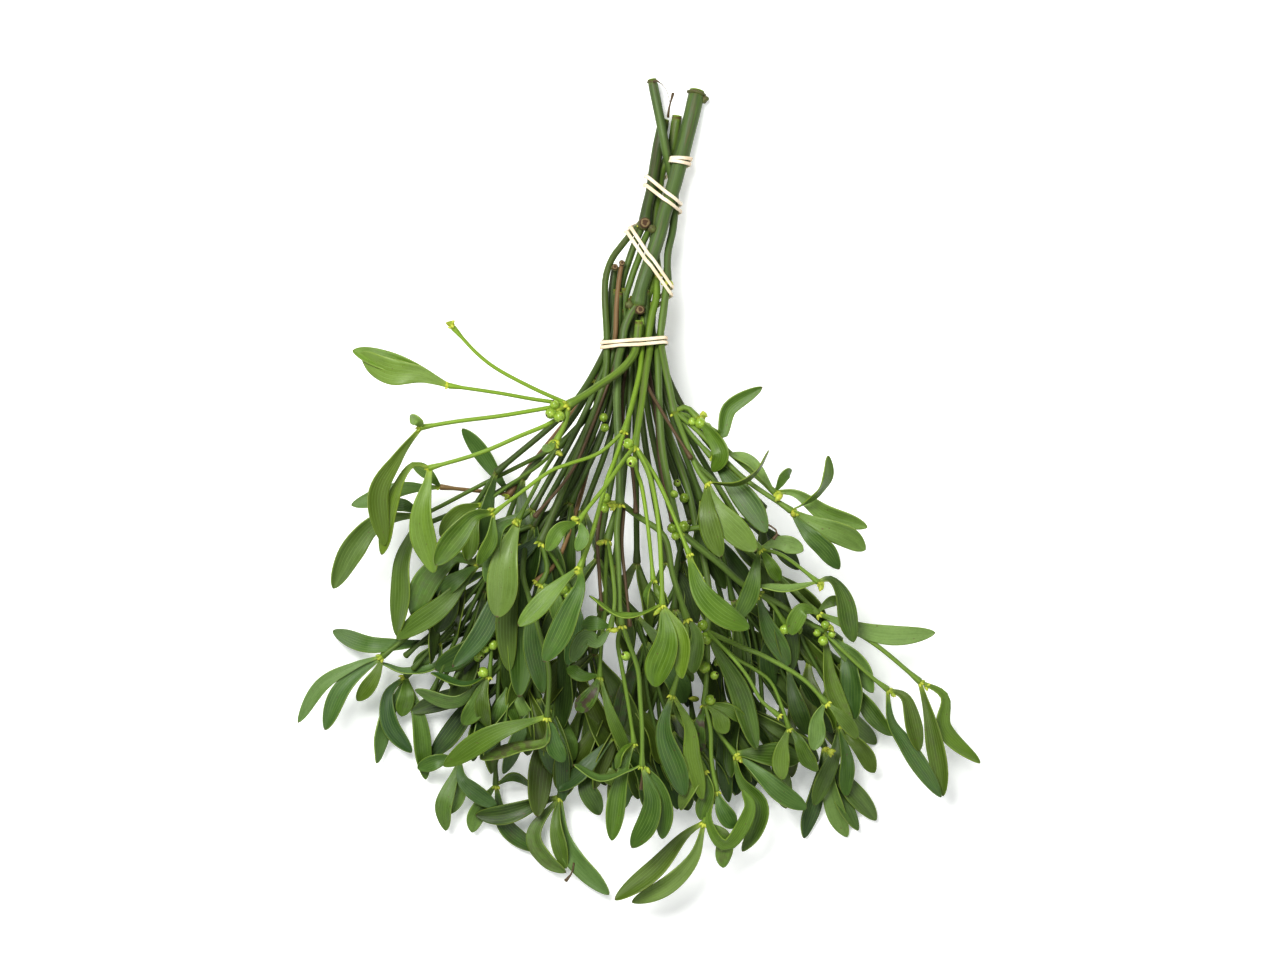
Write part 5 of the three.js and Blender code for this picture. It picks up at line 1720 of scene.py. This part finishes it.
# Ranges of x, y and z for the way that a bud, or a berry, points from its stem.
BUD_WAYS = ((-1, 1), (-1.4, 0.4), (0.2, 0.9))
BERRY_WAYS = ((-1, 1), (-1.2, 0.6), (0.1, 0.8))
BUD_GROUPS, BUD_SIZES, BUD_OUT = (2, 3), (0.9, 1.35), 0.9


def way_of(whims, ways):
    return Vector([whims.uniform(*way) for way in ways]).normalized()


buds = new_mesh()
whims = random.Random("buds")
for x, y in BUD_PLACES:
    spot = Vector((x, y, top_at(x, y)))
    for _ in range(whims.choice(BUD_GROUPS)):
        way = way_of(whims, BUD_WAYS)
        add_bud(buds, spot + way * BUD_OUT, way, whims.uniform(*BUD_SIZES))
print(len(BUD_PLACES), "groups of buds")

# %% Loose berries
# Place and radius.
BERRY_PLACES = [(-7, -83, 2.4), (32, -89, 3), (38.5, -87, 2), (37, -93, 2.2), (78.5, -70.5, 2.5),
                (76.5, -76, 2.8), (71, -70, 1.7), (91, -76, 2.6), (95.5, -72.5, 2), (88, -72, 2),
                (92, -68, 2.2), (-18, 35, 2.3), (-17.5, 30, 2.3), (-4, 13, 2.8), (33, 30, 2.6),
                (22, -5, 2.5), (18.5, 2.5, 2), (17, -3, 2), (-38.5, -52, 2.8), (-36, -56, 2.5),
                (-33, -51, 2), (-38, -58, 2), (-79.5, -83, 2.3), (-77, -80, 2.2), (-73, -78, 2.6),
                (-81, -84.5, 2)]
BERRY_LIFT = 0.4
for x, y, radius in BERRY_PLACES:
    spot = Vector((x, y, top_at(x, y) + BERRY_LIFT * radius))
    tip = way_of(whims, BERRY_WAYS)
    add_ball(buds, spot, tip, radius, BERRY_STRETCH, (whims.random(), 1, 0))
dress("buds_and_berries_along_shoots", buds, FRUIT, ["sprig_front"])
print(len(BERRY_PLACES), "loose berries")

# %% [markdown]
# ## Cut ends
# The stems were cut with a knife. Each cut shows a dark pith, lighter wood round it and a green
# rim of bark. Side shoots were cut off too, and left round scars on the thick stems, whose rim is
# brown. Each one is a flat button on its stem, and its material is drawn by the distance from its
# middle, which noise makes ragged.

# %% Cut finish
PITH_TO, WOOD_FROM, RIM_START, RIM_FULL = 0.3, 0.5, 0.62, 0.8
PITH, WOOD = srgb(84, 62, 44), srgb(134, 118, 84)
BARK_RIM, SCAR_RIM = srgb(140, 168, 70), srgb(84, 66, 48)


def cut_finish():
    kit = Finish("cut_wood", roughness=0.7, specular=0.25)
    x, y, _ = kit.split(kit.attribute("skin"))
    scarred, _, _ = kit.split(kit.attribute("looks"))
    square = kit.math("MULTIPLY_ADD", x, x, kit.times(y, y))
    inwards = kit.math("SUBTRACT", square, 0.2)
    ragged = kit.math("MULTIPLY_ADD", kit.noise(kit.place(), 700, 3), 0.7, inwards)
    colour = kit.mix(kit.ramp(ragged, PITH_TO, WOOD_FROM), PITH, WOOD)
    rim = kit.mix(scarred, BARK_RIM, SCAR_RIM)
    colour = kit.mix(kit.ramp(ragged, RIM_START, RIM_FULL), colour, rim)
    kit.put(kit.shader, {"Base Color": colour})
    kit.bump(ragged, 0.5, 0.0004)
    return kit.material


print("cut finish ready")

# %% Cut ends
CUT_FLAT, CUT_OVERLAP = 0.16, 1.04
# Scars on the upper side of the stems: place and radius.
SCARS = [(0, 88.5, 2.4), (2.5, 132, 2.9), (-12.5, 110, 1.6), (-9, 112, 1.5), (6, 129, 1.6)]
SCAR_FLAT, SCAR_SUNK, SCAR_WAY = 3 * CUT_FLAT, 0.2, Vector((0.1, 0.25, 1)).normalized()

cuts = new_mesh()
for sprig, *_ in SPRIGS.values():
    route = Route([Vector(place) for place in sprig["route"][:3]])
    radius = SHOOT_ROOT * sprig["radii"][0] * CUT_OVERLAP
    add_ball(cuts, route.place(0), -route.heading(0), radius, CUT_FLAT, (0, 0, 0))
for x, y, radius in SCARS:
    spot = Vector((x, y, top_at(x, y) - SCAR_SUNK))
    add_ball(cuts, spot, SCAR_WAY, radius, SCAR_FLAT, (1, 0, 0))
dress("cut_ends", cuts, cut_finish(), ["sprig_middle"])
print(len(SPRIGS), "cut stems,", len(SCARS), "scars")

# %% [markdown]
# Where a side shoot was cut off, the bark has healed into a lumpy collar. The thick stem also ends
# in one, because it was cut at a fork. A squashed ball is near enough, once two sine waves have
# pushed its surface in and out.

# %% Knots
# Place, the way it points, radius, and how long it is for its width.
KNOTS = [((28.1, 197.2, 3.9), (0.2, 1, -0.2), 4.9, 0.3), ((32, 194.2, 4.2), (1, 0.3, 0), 2, 1.2),
         ((6, 203, 6.1), (-0.1, 1, 0), 2.6, 0.4), ((2, 131.5), (0, 0.6, 0.8), 3.5, 0.7),
         ((6.2, 129), (0.4, 0.5, 0.7), 2.3, 0.9), ((-1, 89.5), (-0.2, 0.4, 0.8), 3.5, 0.7),
         ((-5.5, 91), (-1, 0.3, 0.3), 2.2, 1), ((-12.6, 109.5), (0, 1, 0.3), 1.9, 0.8)]
KNOT_SUNK, KNOT_LOOK = 0.75, (0.9, 0.4, 0.2)
LUMP_HEIGHT, LUMP_TURNS, LUMP_SHIFT = 0.35, (1.9, 1.7, 0.8), 0.6

knots = new_mesh()
for place, way, radius, stretch in KNOTS:
    height = place[2] if len(place) == 3 else top_at(*place) - KNOT_SUNK * radius
    centre = Vector((*place[:2], height))
    add_ball(knots, centre, Vector(way).normalized(), radius, stretch, KNOT_LOOK)
for vert in knots.verts:
    lump = math.sin(LUMP_TURNS[0] * vert.co.x + LUMP_TURNS[2] * vert.co.z)
    lump *= math.sin(LUMP_TURNS[1] * vert.co.y + LUMP_SHIFT)
    vert.co += vert.normal * LUMP_HEIGHT * lump
    vert.co.z = max(vert.co.z, TABLE_CLEAR)
KNOT_STREAKS = 0.9
knot_finish = stem_finish("stem_knot", srgb(112, 128, 62), srgb(86, 84, 52), srgb(120, 138, 60),
                          srgb(82, 60, 54), KNOT_STREAKS)
dress("healed_knots", knots, knot_finish, ["sprig_middle"])
print(len(KNOTS), "knots")
